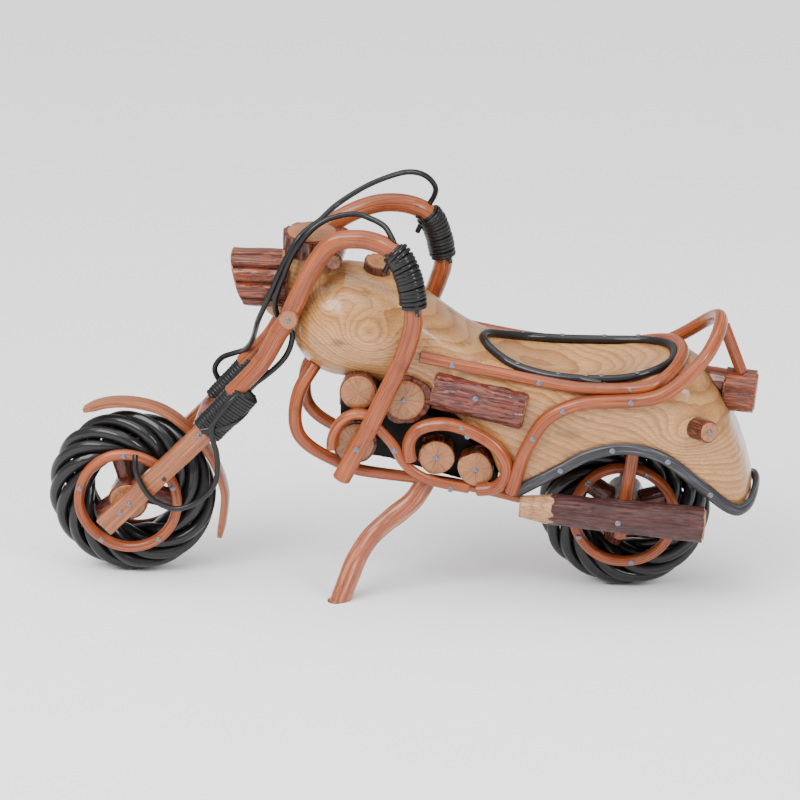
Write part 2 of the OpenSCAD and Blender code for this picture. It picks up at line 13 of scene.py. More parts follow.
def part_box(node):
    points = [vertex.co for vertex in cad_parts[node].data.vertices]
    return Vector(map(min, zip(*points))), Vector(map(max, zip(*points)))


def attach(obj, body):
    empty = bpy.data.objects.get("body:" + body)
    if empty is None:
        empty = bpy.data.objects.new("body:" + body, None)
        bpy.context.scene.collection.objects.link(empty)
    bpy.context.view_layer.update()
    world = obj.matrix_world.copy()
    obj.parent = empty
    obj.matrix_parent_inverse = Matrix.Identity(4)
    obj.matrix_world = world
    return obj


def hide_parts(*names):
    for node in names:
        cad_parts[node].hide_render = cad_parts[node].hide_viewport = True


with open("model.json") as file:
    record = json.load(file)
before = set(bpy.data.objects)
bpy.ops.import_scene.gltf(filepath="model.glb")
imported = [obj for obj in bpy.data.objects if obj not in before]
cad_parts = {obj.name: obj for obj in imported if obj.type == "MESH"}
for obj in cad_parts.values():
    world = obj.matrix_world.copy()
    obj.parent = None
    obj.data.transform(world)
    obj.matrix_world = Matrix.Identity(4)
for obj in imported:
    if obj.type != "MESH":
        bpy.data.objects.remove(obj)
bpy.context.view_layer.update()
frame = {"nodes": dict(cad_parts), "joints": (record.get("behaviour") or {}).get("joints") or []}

MM = 0.001
TAU = 2 * math.pi
# how many corners part.scad gives the cross-section of each kind of stick
BAR_CORNERS, CANE_CORNERS, THIN_CORNERS, BRANCH_CORNERS = 12, 10, 8, 14
# where the knot hole in the fork legs is, on the upright bike in mm
KNOT_X, KNOT_Z = -115.7, 59.3

# ---------------------------------------------------------------- the frame's own directions

joints = {joint["name"]: joint for joint in frame["joints"]}
front_centre = Vector(joints["front_wheel_spin"]["pos_m"])
rear_centre = Vector(joints["rear_wheel_spin"]["pos_m"])
LENGTHWAYS = Vector((1, 0, 0))
RIGHT = Vector(joints["front_wheel_spin"]["axis"]).normalized()
UP = LENGTHWAYS.cross(RIGHT)
tyre_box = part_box("front_tyre")
wheel_r = (tyre_box[1].x - tyre_box[0].x) / 2
# the upright bike's origin: on its middle plane, a wheel's radius under the axles, at the frame's own x = 0
bike_origin = Vector((0, front_centre.y, front_centre.z)) - UP * wheel_r


def upright(point):
    """A place on the leaning bike, in the upright bike's own directions and in millimetres."""
    d = point - bike_origin
    return Vector((d.x, d.dot(RIGHT), d.dot(UP))) / MM


# ---------------------------------------------------------------- reading the CAD solids

SAME_PLANE = 0.99995  # least cosine between the normals of one flat face
Flat = namedtuple("Flat", "normal area corners count")


class Solid:
    """One closed solid of a CAD node: its welded corners, its triangles and its flat faces."""

    def __init__(self, corners, triangles):
        self.co = np.array(corners)
        self.tris = triangles
        self.box = (self.co.min(0), self.co.max(0))

    def flats(self):
        """The groups of triangles that lie in one plane: normal, area, corner numbers, triangle count."""
        a, b, c = (self.co[[t[i] for t in self.tris]] for i in range(3))
        cross = np.cross(b - a, c - a)
        area = np.linalg.norm(cross, axis=1)
        normal = cross / np.maximum(area, 1e-20)[:, None]
        group = list(range(len(self.tris)))

        def root(i):
            while group[i] != i:
                group[i] = group[group[i]]
                i = group[i]
            return i
        edge_owner = {}
        for i, tri in enumerate(self.tris):
            for k in range(3):
                edge = frozenset((tri[k], tri[(k + 1) % 3]))
                j = edge_owner.setdefault(edge, i)
                if j != i and normal[i] @ normal[j] > SAME_PLANE:
                    group[root(i)] = root(j)
        found = {}
        for i in range(len(self.tris)):
            found.setdefault(root(i), []).append(i)
        return [Flat(Vector(normal[max(g, key=lambda i: area[i])]), area[g].sum() / 2,
                     sorted({v for i in g for v in self.tris[i]}), len(g)) for g in found.values()]


def solids(node):
    """The node's separate solids, from low to high y."""
    bm = bmesh.new()
    bm.from_mesh(frame["nodes"][node].data)
    bmesh.ops.remove_doubles(bm, verts=bm.verts, dist=0.002 * MM)
    bmesh.ops.triangulate(bm, faces=bm.faces)
    bm.verts.index_update()
    seen, found = set(), []
    for start in bm.verts:
        if start.index in seen or not start.link_faces:
            continue
        island, stack = [], [start]
        seen.add(start.index)
        while stack:
            v = stack.pop()
            island.append(v)
            for e in v.link_edges:
                other = e.other_vert(v)
                if other.index not in seen:
                    seen.add(other.index)
                    stack.append(other)
        number = {v.index: i for i, v in enumerate(island)}
        faces = {f for v in island for f in v.link_faces}
        ordered = sorted(faces, key=lambda f: f.index)
        triangles = [tuple(number[v.index] for v in f.verts) for f in ordered]
        found.append(Solid([v.co[:] for v in island], triangles))
    bm.free()
    return sorted(found, key=lambda s: (round(s.box[0][1], 4), s.box[0][0]))


def only(node):
    """The solid of a node that has one, or its first one."""
    return solids(node)[0]


def long_axis(solid):
    """The direction in which a solid is longest."""
    _, vectors = np.linalg.eigh(np.cov((solid.co - solid.co.mean(0)).T))
    return Vector(vectors[:, 2])


def middle_line(solid, sides, toward=LENGTHWAYS):
    """The middle line of a bent stick that is a run of rings, each of `sides` corners, and its radii."""
    most_uneven = 2.7  # a stick's own end face is at most this much longer than wide
    caps = []
    for flat in solid.flats():
        if flat.count == sides - 2 and len(flat.corners) == sides:
            ring = solid.co[flat.corners]
            reach = np.linalg.norm(ring - ring.mean(0), axis=1)
            if reach.max() < most_uneven * reach.min():
                caps.append((reach.max() / reach.min(), flat.corners))
    cap = min(caps, key=lambda c: c[0])[1]
    beside = [set() for _ in solid.co]
    for tri in solid.tris:
        for corner, after in zip(tri, tri[1:] + tri[:1]):
            beside[corner].add(after)
            beside[after].add(corner)
    ring, seen, line, radii = set(cap), set(cap), [], []
    while ring:
        co = solid.co[sorted(ring)]
        if len(ring) >= sides - 1:
            line.append(Vector(co.mean(0)))
            radii.append(float(np.linalg.norm(co - co.mean(0), axis=1).max()))
        ring = {n for v in ring for n in beside[v]} - seen
        seen |= ring
    if toward is not None and (line[0] - line[-1]).dot(toward) > 0:
        line.reverse()
        radii.reverse()
    return line, radii


def cylinder(solid, toward):
    """A log's outer end, inner end, radius and core radius; its outer end is the flat face towards `toward`."""
    facing = [flat for flat in solid.flats() if flat.normal.dot(toward) > 0.75 and flat.count > 4]
    normal, _, corners, _ = max(facing, key=lambda flat: flat.area)
    a = normal.orthogonal().normalized()
    b = normal.cross(a)
    along = solid.co @ np.array(normal)
    across = [solid.co @ np.array(v) for v in (a, b)]
    middle = (a * float(across[0].min() + across[0].max()) / 2
              + b * float(across[1].min() + across[1].max()) / 2)
    reach = max(float(np.ptp(v)) for v in across) / 2
    ring = solid.co[corners]
    core = max(float((Vector(p) - middle - normal * normal.dot(Vector(p))).length) for p in ring)
    return middle + normal * float(along.max()), middle + normal * float(along.min()), reach, core


# ---------------------------------------------------------------- shapes

class Shape:
    """Corners and faces, with two things that the materials read: grain (mm along and across the fibre)
    on each corner, and zone on each face, 0 on bark or skin and 1 on cut wood."""

    def __init__(self):
        self.co, self.grain, self.faces, self.zone = [], [], [], []

    def ring(self, points, grains):
        first = len(self.co)
        self.co.extend(points)
        self.grain.extend(grains)
        return list(range(first, len(self.co)))

    def wall(self, lower, upper, zone=0.0, turned=False):
        if turned:
            lower, upper = upper, lower
        n = len(lower)
        for k in range(n):
            self.faces.append((lower[k], lower[(k + 1) % n], upper[(k + 1) % n], upper[k]))
            self.zone.append(zone)

    def cap(self, ring, point, grain, zone=1.0, turned=False):
        centre = len(self.co)
        self.co.append(point)
        self.grain.append(grain)
        n = len(ring)
        for k in range(n):
            pair = (ring[k], ring[(k + 1) % n])
            self.faces.append((pair[1], pair[0], centre) if turned else (pair[0], pair[1], centre))
            self.zone.append(zone)


def make(name, shapes, material, slot, body, *nodes, smooth_angle=40):
    """Joins shapes into one piece that rides on a body and stands for CAD nodes."""
    co, grain, faces, zone = [], [], [], []
    for shape in shapes:
        first = len(co)
        co.extend(tuple(v) for v in shape.co)
        grain.extend(shape.grain)
        faces.extend(tuple(i + first for i in f) for f in shape.faces)
        zone.extend(shape.zone)
    mesh = bpy.data.meshes.new(name)
    mesh.from_pydata(co, [], faces)
    finish_piece(name, mesh, grain, zone, material, slot, body, nodes, smooth_angle)


def finish_piece(name, mesh, grain, zone, material, slot, body, nodes, smooth_angle):
    """Gives a mesh what its material reads, and puts it on its body for its CAD nodes."""
    mesh.attributes.new("grain", "FLOAT_VECTOR", "POINT").data.foreach_set(
        "vector", np.array(grain, np.float32).ravel())
    mesh.attributes.new("zone", "FLOAT", "FACE").data.foreach_set("value", np.array(zone, np.float32))
    mesh.shade_smooth()
    mesh.set_sharp_from_angle(angle=math.radians(smooth_angle))
    mesh.materials.append(material)
    piece = bpy.data.objects.new(name, mesh)
    bpy.context.scene.collection.objects.link(piece)
    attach(piece, body)
    if nodes:
        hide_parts(*nodes)


def catmull(points, step, closed=False):
    """Evenly spaced points on the smooth curve through the given ones."""
    n = len(points)
    dense = []
    for i in range(n if closed else n - 1):
        beside = range(i - 1, i + 3)
        a, b, c, d = (points[k % n] if closed else points[max(0, min(n - 1, k))] for k in beside)
        for j in range(8):
            t = j / 8
            dense.append(0.5 * (2 * b + (c - a) * t + (2 * a - 5 * b + 4 * c - d) * t ** 2
                                + (3 * b - a - 3 * c + d) * t ** 3))
    dense.append(dense[0] if closed else points[-1])
    arc = np.concatenate(([0], np.cumsum([(q - p).length for p, q in zip(dense, dense[1:])])))
    count = max(2, round(arc[-1] / step))
    where = np.linspace(0, arc[-1], count + 1)[:count if closed else count + 1]
    flat = np.array([tuple(p) for p in dense])
    even = np.stack([np.interp(where, arc, flat[:, k]) for k in range(3)], 1)
    return [Vector(p) for p in even], float(arc[-1])


def round_outline(angle, along, seed):
    """A cane is never quite round: a few soft flats wander along it."""
    return (1 + 0.028 * math.cos(3 * angle + seed + along * 0.01)
            + 0.018 * math.cos(5 * angle + 2 * seed - along * 0.02))


def plain_outline(angle, along, seed):
    return 1.0


def strip_outline(angle, along, seed):
    """A flat strip with rounded edges."""
    return 1 / (abs(math.cos(angle)) ** 4 + abs(math.sin(angle)) ** 4) ** 0.25


def sweep(line, half, seed=0.0, sides=20, step=1.5, closed=False, side=None, normals=None,
          outline=round_outline, wander=0.02, zone=0.0, knots=()):
    """A stick along a line. half gives its half sizes along the side direction and across it, in mm, at 0..1.
    wander is how far its thickness strays; knots are swellings, as (place along in mm, height, reach in mm)."""
    points, length = catmull(line, step * MM, closed)
    n = len(points)
    if callable(half):
        size = [half(i / (n - 1)) for i in range(n)]
    else:
        size = [half if isinstance(half, tuple) else (half, half)] * n
    shape = Shape()
    tangents = []
    for i in range(n):
        ahead = points[(i + 1) % n] if closed else points[min(n - 1, i + 1)]
        behind = points[i - 1] if (closed or i) else points[0]
        tangents.append((ahead - behind).normalized())
    if normals is not None:
        way = normals
    else:
        way = side or tangents[0].orthogonal()
    rings = []
    for i, (p, t) in enumerate(zip(points, tangents)):
        hint = way(p) if callable(way) else way
        a = (hint - t * hint.dot(t)).normalized()
        if side is None and normals is None:
            way = a
        b = t.cross(a)
        along = i * length / n / MM
        swell = 1 + wander * noise.noise((seed * 7.3, along * 0.035, 1.7))
        for where, height, reach in knots:
            swell += height * math.exp(-((along - where) / reach) ** 2)
        offsets = []
        for k in range(sides):
            g = TAU * k / sides
            r = outline(g, along, seed) * swell
            offsets.append((size[i][0] * math.cos(g) * r, size[i][1] * math.sin(g) * r))
        rings.append((p, a, b, t, along, offsets))

    def ring(entry, scale=1.0, shift=0.0):
        p, a, b, t, along, offsets = entry
        return shape.ring([p + (a * x + b * y) * (MM * scale) + t * (shift * MM) for x, y in offsets],
                          [(x * scale, y * scale, along + shift + seed * 211) for x, y in offsets])
    if closed:
        made = [ring(entry) for entry in rings]
        for lower, upper in zip(made, made[1:] + made[:1]):
            shape.wall(lower, upper, zone)
        return shape
    bevel = 0.14 * min(size[0])  # how far each end's edge is worn round, in mm
    first = ring(rings[0], 1 - bevel / min(size[0]))
    made = [ring(rings[0], 1.0, bevel)] + [ring(entry) for entry in rings[1:-1]] + [ring(rings[-1], 1.0, -bevel)]
    last = ring(rings[-1], 1 - bevel / min(size[-1]))
    for lower, upper in zip(made, made[1:]):
        shape.wall(lower, upper, zone)
    shape.wall(first, made[0], zone)
    shape.wall(made[-1], last, zone)
    for edge, entry, turned in ((first, rings[0], True), (last, rings[-1], False)):
        inner = ring(entry, 0.5)
        shape.wall(edge, inner, 1.0, turned)
        shape.cap(inner, entry[0], (0, 0, entry[4] + seed * 211), 1.0, turned)
    return shape


def ring_noise(angle, reach, height, shift=0.0):
    """Noise that closes on itself round a ring."""
    return noise.noise((math.cos(angle) * reach + shift, math.sin(angle) * reach, height))


def fissure(angle, along, seed, around=9.0, stretch=0.05):
    """Depth of bark fissures, 0 to 1: long ridged valleys that run with the log."""
    c, s = math.cos(angle) * around / TAU, math.sin(angle) * around / TAU
    big = 1 - abs(noise.noise((c * 1.6 + seed, s * 1.6, along * stretch + seed))) * 3.2
    fine = 1 - abs(noise.noise((c * 4.1, s * 4.1 + seed, along * stretch * 2.2))) * 3.0
    return max(0.0, big) ** 2 * 0.7 + max(0.0, fine) ** 2 * 0.3


def log(outer, inner, radius, core, seed=0.0, rough=0.5, jag=0.8, lobes=0.03, knobs=0.0, around=72, step=0.9,
        bore=0.0, shear=None, grooves=(), core_end=None, skin_radius=None, fissures=9.0):
    """A bark log from its outer face to its inner one, in metres, with radii in mm.
    The peeled core stands proud of a jagged bark edge. grooves are (angle, half width, depth), shear slants
    the outer face, core_end=(length, radius) whittles the outer tip, and skin_radius is the outer end's."""
    proud = 0.5
    axis = (inner - outer).normalized()
    length = (inner - outer).length / MM
    hint = UP if abs(axis.dot(UP)) < 0.8 else LENGTHWAYS
    b = (hint - axis * hint.dot(axis)).normalized()
    a = b.cross(axis)
    shape = Shape()
    angles = [TAU * k / around for k in range(around)]
    tip = core_end[0] if core_end else 0.0

    def lobe(g):
        return 1 + lobes * (ring_noise(g, 1.1, seed * 3, seed) * 1.6 - 0.25)

    def bark_at(g, s):
        u = s / length
        base = radius if skin_radius is None else radius + (skin_radius - radius) * (1 - u)
        knob = knobs * max(0.0, ring_noise(g, 1.7, s * 0.09 + seed) * 1.7 - 0.1)
        deep = sum(depth * math.exp(-((((g - at + math.pi) % TAU) - math.pi) / width) ** 2)
                   for at, width, depth in grooves)
        low = min(1.0, 0.35 + min(s, length - s) * 0.4)
        return base * lobe(g) - rough * fissure(g, s, seed, fissures) * low - knobs * 0.5 + knob - deep

    def jagged(g, end):
        return jag * (0.5 + 0.9 * ring_noise(g, 3.3, seed + end * 5, end))

    def put(radii, heights):
        points, grains = [], []
        for g, r, s in zip(angles, radii, heights):
            out = (a * math.cos(g) + b * math.sin(g)) * (r * MM)
            lift = 0.0
            if shear is not None:
                lift = -out.dot(shear) * (1 - min(1.0, s / length)) ** 2 / MM
            points.append(outer + out + axis * ((s + lift) * MM))
            grains.append((r * math.cos(g), r * math.sin(g), s + seed * 97))
        return shape.ring(points, grains)

    rows = max(3, round((length - tip) / step))
    starts = [tip + proud + max(0, jagged(g, 0)) * (4.0 if tip else 1.0) for g in angles]
    ends = [length - proud - max(0, jagged(g, 1)) for g in angles]
    bark = []
    for i in range(rows + 1):
        u = i / rows
        heights = [p + (q - p) * u for p, q in zip(starts, ends)]
        bark.append(put([bark_at(g, s) for g, s in zip(angles, heights)], heights))
    for lower, upper in zip(bark, bark[1:]):
        shape.wall(lower, upper, 0.0)
    for end, row, heights in ((0, bark[0], starts), (1, bark[-1], ends)):
        face = 0.0 if end == 0 else length
        way = 1 if end == 0 else -1
        core_r = [core * lobe(g) for g in angles]
        rings = [put(core_r, heights)]
        if end == 0 and core_end:
            for k in range(1, 9):
                u = k / 8
                hack = [1 + 0.05 * ring_noise(g, 2.2, u * 2 + seed) for g in angles]
                rings.append(put([(r + (core_end[1] - r) * u) * h for r, h in zip(core_r, hack)],
                                 [s * (1 - u) + 0.3 * u for s in heights]))
            core_r = [core_end[1]] * around
        else:
            rings.append(put(core_r, [face + way * 0.28] * around))
        rings.append(put([r - 0.3 for r in core_r], [face] * around))
        zones = [0.5] + [1.0] * (len(rings) - 1)
        for share in (0.7, 0.4):
            inner_r = [max(bore, (r - 0.3) * share + bore * (1 - share)) for r in core_r]
            dish = [face + way * 0.06 * (1 + ring_noise(g, r, seed)) for g, r in zip(angles, inner_r)]
            rings.append(put(inner_r, dish))
            zones.append(1.0)
        before = row
        for ring, zone in zip(rings, zones):
            shape.wall(before, ring, zone, end == 0)
            before = ring
        if bore:
            rim = put([bore] * around, [face + way * 0.05] * around)
            shape.wall(before, rim, 1.0, end == 0)
            if end == 0:
                first_rim = rim
            else:
                shape.wall(rim, first_rim, 1.0)
        else:
            height = face + way * 0.1
            shape.cap(before, outer + axis * (height * MM), (0, 0, height + seed * 97), 1.0, end == 0)
    return shape


def lathe(base, out, profile, sides=20, zone=0.0):
    """A closed turned shape from a list of (height, radius) in mm, starting and ending on the axis."""
    a = out.orthogonal().normalized()
    b = out.cross(a)
    shape = Shape()
    rings = []
    for height, radius in profile[1:-1]:
        places = [(radius * math.cos(TAU * k / sides), radius * math.sin(TAU * k / sides)) for k in range(sides)]
        rings.append(shape.ring([base + (a * x + b * y + out * height) * MM for x, y in places],
                                [(x, y, height) for x, y in places]))
    for lower, upper in zip(rings, rings[1:]):
        shape.wall(lower, upper, zone)
    shape.cap(rings[0], base + out * (profile[0][0] * MM), (0, 0, profile[0][0]), zone, True)
    shape.cap(rings[-1], base + out * (profile[-1][0] * MM), (0, 0, profile[-1][0]), zone)
    return shape


def wound(line, reach, turns, reed, seed, start, steps=26, layer=0.0, ragged=0.0, stray=0.35):
    """A flat reed wound round a line. reach gives the winding's outer half sizes (side, across) at 0..1, in mm,
    reed its own half sizes (wide, thick), and layer how far it lies outside them."""
    points, _ = catmull(line, 0.5 * MM)
    n = len(points)
    path, outward = [], []
    for i in range(int(turns * steps) + 1):
        turn = i / steps
        wobble = stray * noise.noise((seed, turn * 0.9, 0.3)) + ragged * noise.noise((seed * 3, turn * 2.3, 5.1))
        u = min(1.0, max(0.0, (turn + wobble) / turns))
        at = u * (n - 1)
        k = min(n - 2, int(at))
        p = points[k].lerp(points[k + 1], at - k)
        t = (points[k + 1] - points[k]).normalized()
        a = (RIGHT - t * RIGHT.dot(t)).normalized()
        b = t.cross(a)
        g = TAU * (turn + start)
        ra, rb = reach(u)
        lift = layer + 0.25 * noise.noise((seed * 5, turn * 1.7, 8.8))
        path.append(p + (a * math.cos(g) * (ra - reed[1] + lift) + b * math.sin(g) * (rb - reed[1] + lift)) * MM)
        outward.append((a * math.cos(g) / ra + b * math.sin(g) / rb).normalized())
    places = np.array([tuple(p) for p in path])
    return sweep(path, (reed[1], reed[0]), seed, 8, 1.2, outline=plain_outline, wander=0.12,
                 normals=lambda p: outward[int(np.argmin(((places - np.array(p)) ** 2).sum(1)))])


def softened(name, node, voxel, rounds, material, slot, shift=None):
    """A carved piece: its CAD solid with the edges worn round, its grain in the upright bike's directions."""
    mesh = frame["nodes"][node].data.copy()
    mesh.name = name
    mesh.materials.clear()
    piece = bpy.data.objects.new(name, mesh)
    bpy.context.scene.collection.objects.link(piece)
    remesh = piece.modifiers.new("remesh", "REMESH")
    remesh.mode = "VOXEL"
    remesh.voxel_size = voxel * MM
    smooth = piece.modifiers.new("smooth", "SMOOTH")
    smooth.iterations = rounds
    smooth.factor = 0.5
    depsgraph = bpy.context.evaluated_depsgraph_get()
    baked = bpy.data.meshes.new_from_object(piece.evaluated_get(depsgraph))
    bpy.data.objects.remove(piece)
    baked.name = name
    grain = [upright(v.co) for v in baked.vertices]
    if shift:
        normals = [v.normal.copy() for v in baked.vertices]
        moved = [v.co + shift(g, n) * MM for v, g, n in zip(baked.vertices, grain, normals)]
        baked.vertices.foreach_set("co", np.array([tuple(p) for p in moved], np.float32).ravel())
    finish_piece(name, baked, [tuple(g) for g in grain], np.zeros(len(baked.polygons)), material, slot, "frame",
                 (node,), 60)


# ---------------------------------------------------------------- materials

class Wire:
    """A node's output that arithmetic works on."""

    def __init__(self, graph, socket):
        self.graph, self.socket = graph, socket

    def _do(self, operation, *others):
        return self.graph.node("ShaderNodeMath", {"operation": operation}, dict(enumerate((self,) + others)))

    def __add__(self, other): return self._do("ADD", other)
    def __sub__(self, other): return self._do("SUBTRACT", other)
    def __mul__(self, other): return self._do("MULTIPLY", other)
    def __truediv__(self, other): return self._do("DIVIDE", other)
    __radd__ = __add__
    __rmul__ = __mul__
    def absolute(self): return self._do("ABSOLUTE")
    def fraction(self): return self._do("FRACT")
    def exponent(self): return self._do("EXPONENT")
    def root(self): return self._do("SQRT")


class Graph:
    """A material's nodes, with one glossy principled shader at the end."""

    def __init__(self, name):
        self.material = bpy.data.materials.new(name)
        self.material.use_nodes = True
        self.nodes = self.material.node_tree.nodes
        self.links = self.material.node_tree.links
        self.shader = self.nodes["Principled BSDF"]

    def set(self, socket, value):
        if isinstance(value, Wire):
            self.links.new(value.socket, socket)
        elif isinstance(value, tuple) and len(value) == 3 and socket.type == "RGBA":
            socket.default_value = (*value, 1)
        else:
            socket.default_value = value

    def node(self, kind, props=None, inputs=None, output=0):
        node = self.nodes.new(kind)
        for key, value in (props or {}).items():
            setattr(node, key, value)
        for key, value in (inputs or {}).items():
            self.set(node.inputs[key], value)
        return Wire(self, node.outputs[output])

    def grain(self):
        return self.node("ShaderNodeAttribute", {"attribute_name": "grain"}, output="Vector")

    def zone(self):
        return self.node("ShaderNodeAttribute", {"attribute_name": "zone"}, output="Fac")

    def parts(self, vector):
        node = self.nodes.new("ShaderNodeSeparateXYZ")
        self.links.new(vector.socket, node.inputs[0])
        return [Wire(self, s) for s in node.outputs]

    def vector(self, x, y, z):
        return self.node("ShaderNodeCombineXYZ", None, {0: x, 1: y, 2: z})

    def stretched(self, vector, scale):
        return self.node("ShaderNodeVectorMath", {"operation": "MULTIPLY"}, {0: vector, 1: scale})

    def noise(self, vector, scale=1.0, detail=3.0, roughness=0.55, distortion=0.0):
        return self.node("ShaderNodeTexNoise", None, {"Vector": vector, "Scale": scale, "Detail": detail,
                                                      "Roughness": roughness, "Distortion": distortion}, "Fac")

    def streaks(self, vector, scale, *how):
        return self.noise(self.stretched(vector, scale), 1.0, *how)

    def ramp(self, value, *stops):
        node = self.nodes.new("ShaderNodeValToRGB")
        self.links.new(value.socket, node.inputs[0])
        elements = node.color_ramp.elements
        while len(elements) < len(stops):
            elements.new(0.5)
        for element, (place, colour) in zip(elements, stops):
            element.position = place
            element.color = (*colour, 1) if isinstance(colour, tuple) else (colour, colour, colour, 1)
        return Wire(self, node.outputs[0])

    def mix(self, factor, a, b, blend="MIX"):
        node = self.nodes.new("ShaderNodeMix")
        node.data_type = "RGBA"
        node.blend_type = blend
        for socket, value in ((node.inputs["Factor"], factor), (node.inputs[6], a), (node.inputs[7], b)):
            self.set(socket, value)
        return Wire(self, node.outputs[2])

    def over(self, colour, paint, value, *stops):
        """Paint over a colour, as thick as a ramp of the value says."""
        return self.mix(self.ramp(value, *stops), colour, paint)

    def finish(self, colour, roughness, height=None, depth=0.1, coat=0.0, coat_roughness=0.1, metallic=0.0,
               specular=0.22, richness=1.72):
        """Ends the material. richness deepens the colour, and depth is the relief's, in mm."""
        inputs = {"Base Color": self.node("ShaderNodeGamma", None, {"Color": colour, "Gamma": richness}),
                  "Roughness": roughness, "Metallic": metallic, "Specular IOR Level": specular,
                  "Coat Weight": coat, "Coat Roughness": coat_roughness}
        if height is not None:
            inputs["Normal"] = self.node("ShaderNodeBump", None, {"Strength": 1.0, "Distance": depth * MM,
                                                                  "Height": height})
        for key, value in inputs.items():
            self.set(self.shader.inputs[key], value)
        return self.material


def carved_wood():
    """Light honey wood under gloss varnish: growth rings of one tilted log, bent round a few knots."""
    g = Graph("carved_wood")
    p = g.grain()
    x, y, z = g.parts(p)
    drift = g.noise(p, 0.018, 2.0) * 14.0 + g.noise(p, 0.09, 2.0) * 2.2
    height = z - x * -0.30 - 62.0
    reach = (y * y + height * height).root() + drift
    # knots, each as x, z, its width along x and z, and how far it bends the rings
    for kx, kz, wx, wz, push in ((-13, 138, 15, 12, 22.0), (142, 92, 16, 11, 15.0), (30, 112, 12, 8, 7.0),
                                 (-34, 155, 6, 10, 9.0)):
        dx, dz = (x - float(kx)) / float(wx), (z - float(kz)) / float(wz)
        reach = reach + ((dx * dx + dz * dz) * -1.0).exponent() * push
    rings = (reach / 3.1).fraction()
    soft = (reach / 9.7).fraction()
    fibre = g.streaks(p, (0.10, 1.5, 1.5), 5.0, 0.65)
    pores = g.streaks(p, (0.22, 3.4, 3.4), 2.0, 0.5)
    patch = g.noise(p, 0.028, 3.0, 0.5)
    streak = g.streaks(p, (0.03, 0.09, 0.09), 4.0, 0.6, 1.2)
    ring_tone = g.ramp(rings, (0.0, 0.0), (0.45, 0.12), (0.86, 0.62), (0.97, 1.0), (1.0, 0.15))
    base = g.ramp(patch, (0.30, (0.58, 0.39, 0.215)), (0.52, (0.69, 0.475, 0.28)), (0.72, (0.62, 0.40, 0.21)))
    ringed = g.mix(ring_tone * 0.65, base, (0.40, 0.215, 0.095))
    banded = g.over(ringed, (0.34, 0.195, 0.095), soft, (0.0, 0.0), (0.7, 0.05), (0.93, 0.32), (1.0, 0.0))
    fibred = g.over(banded, (0.42, 0.25, 0.12), fibre, (0.38, 0.0), (0.75, 0.42))
    pored = g.over(fibred, (0.31, 0.175, 0.085), pores, (0.56, 0.0), (0.70, 0.75))
    dark = g.ramp(streak, (0.60, 0.0), (0.70, 0.55), (0.74, 0.75), (0.82, 0.35))
    colour = g.mix(dark * 0.75, pored, (0.23, 0.155, 0.075))
    roughness = g.ramp(fibre, (0.3, 0.27), (0.8, 0.4))
    return g.finish(colour, roughness, fibre * 0.6 + pores * 0.4, 0.05, coat=0.5, coat_roughness=0.13)


def cane(name, light, mid, dark):
    """Peeled bent cane: fine lengthwise lines, slow changes of tone, pale cut ends, varnish."""
    cut = (0.56, 0.34, 0.19)
    g = Graph(name)
    p = g.grain()
    fine = g.streaks(p, (2.4, 2.4, 0.035), 5.0, 0.65)
    broad = g.streaks(p, (0.42, 0.42, 0.02), 3.0, 0.5)
    tone = g.streaks(p, (0.12, 0.12, 0.022), 3.0)
    crease = g.streaks(p, (1.5, 1.5, 0.012), 2.0, 0.4)
    blotch = g.noise(p, 0.11, 3.0, 0.6)
    body = g.ramp(tone, (0.32, mid), (0.62, light))
    lined = g.over(body, dark, fine, (0.42, 0.62), (0.60, 0.0))
    streaked = g.over(lined, light, broad, (0.55, 0.0), (0.72, 0.42))
    marked = g.over(streaked, dark, blotch, (0.58, 0.0), (0.74, 0.45))
    creased = g.over(marked, dark, crease, (0.34, 0.6), (0.40, 0.0))
    end = g.over(cut, dark, g.noise(p, 2.2, 3.0), (0.35, 0.0), (0.7, 0.55))
    colour = g.mix(g.zone(), creased, end)
    roughness = g.ramp(fine, (0.3, 0.46), (0.7, 0.34))
    return g.finish(colour, roughness, fine * 0.55 + crease * 0.45 + broad * 0.3, 0.16, coat=0.4)


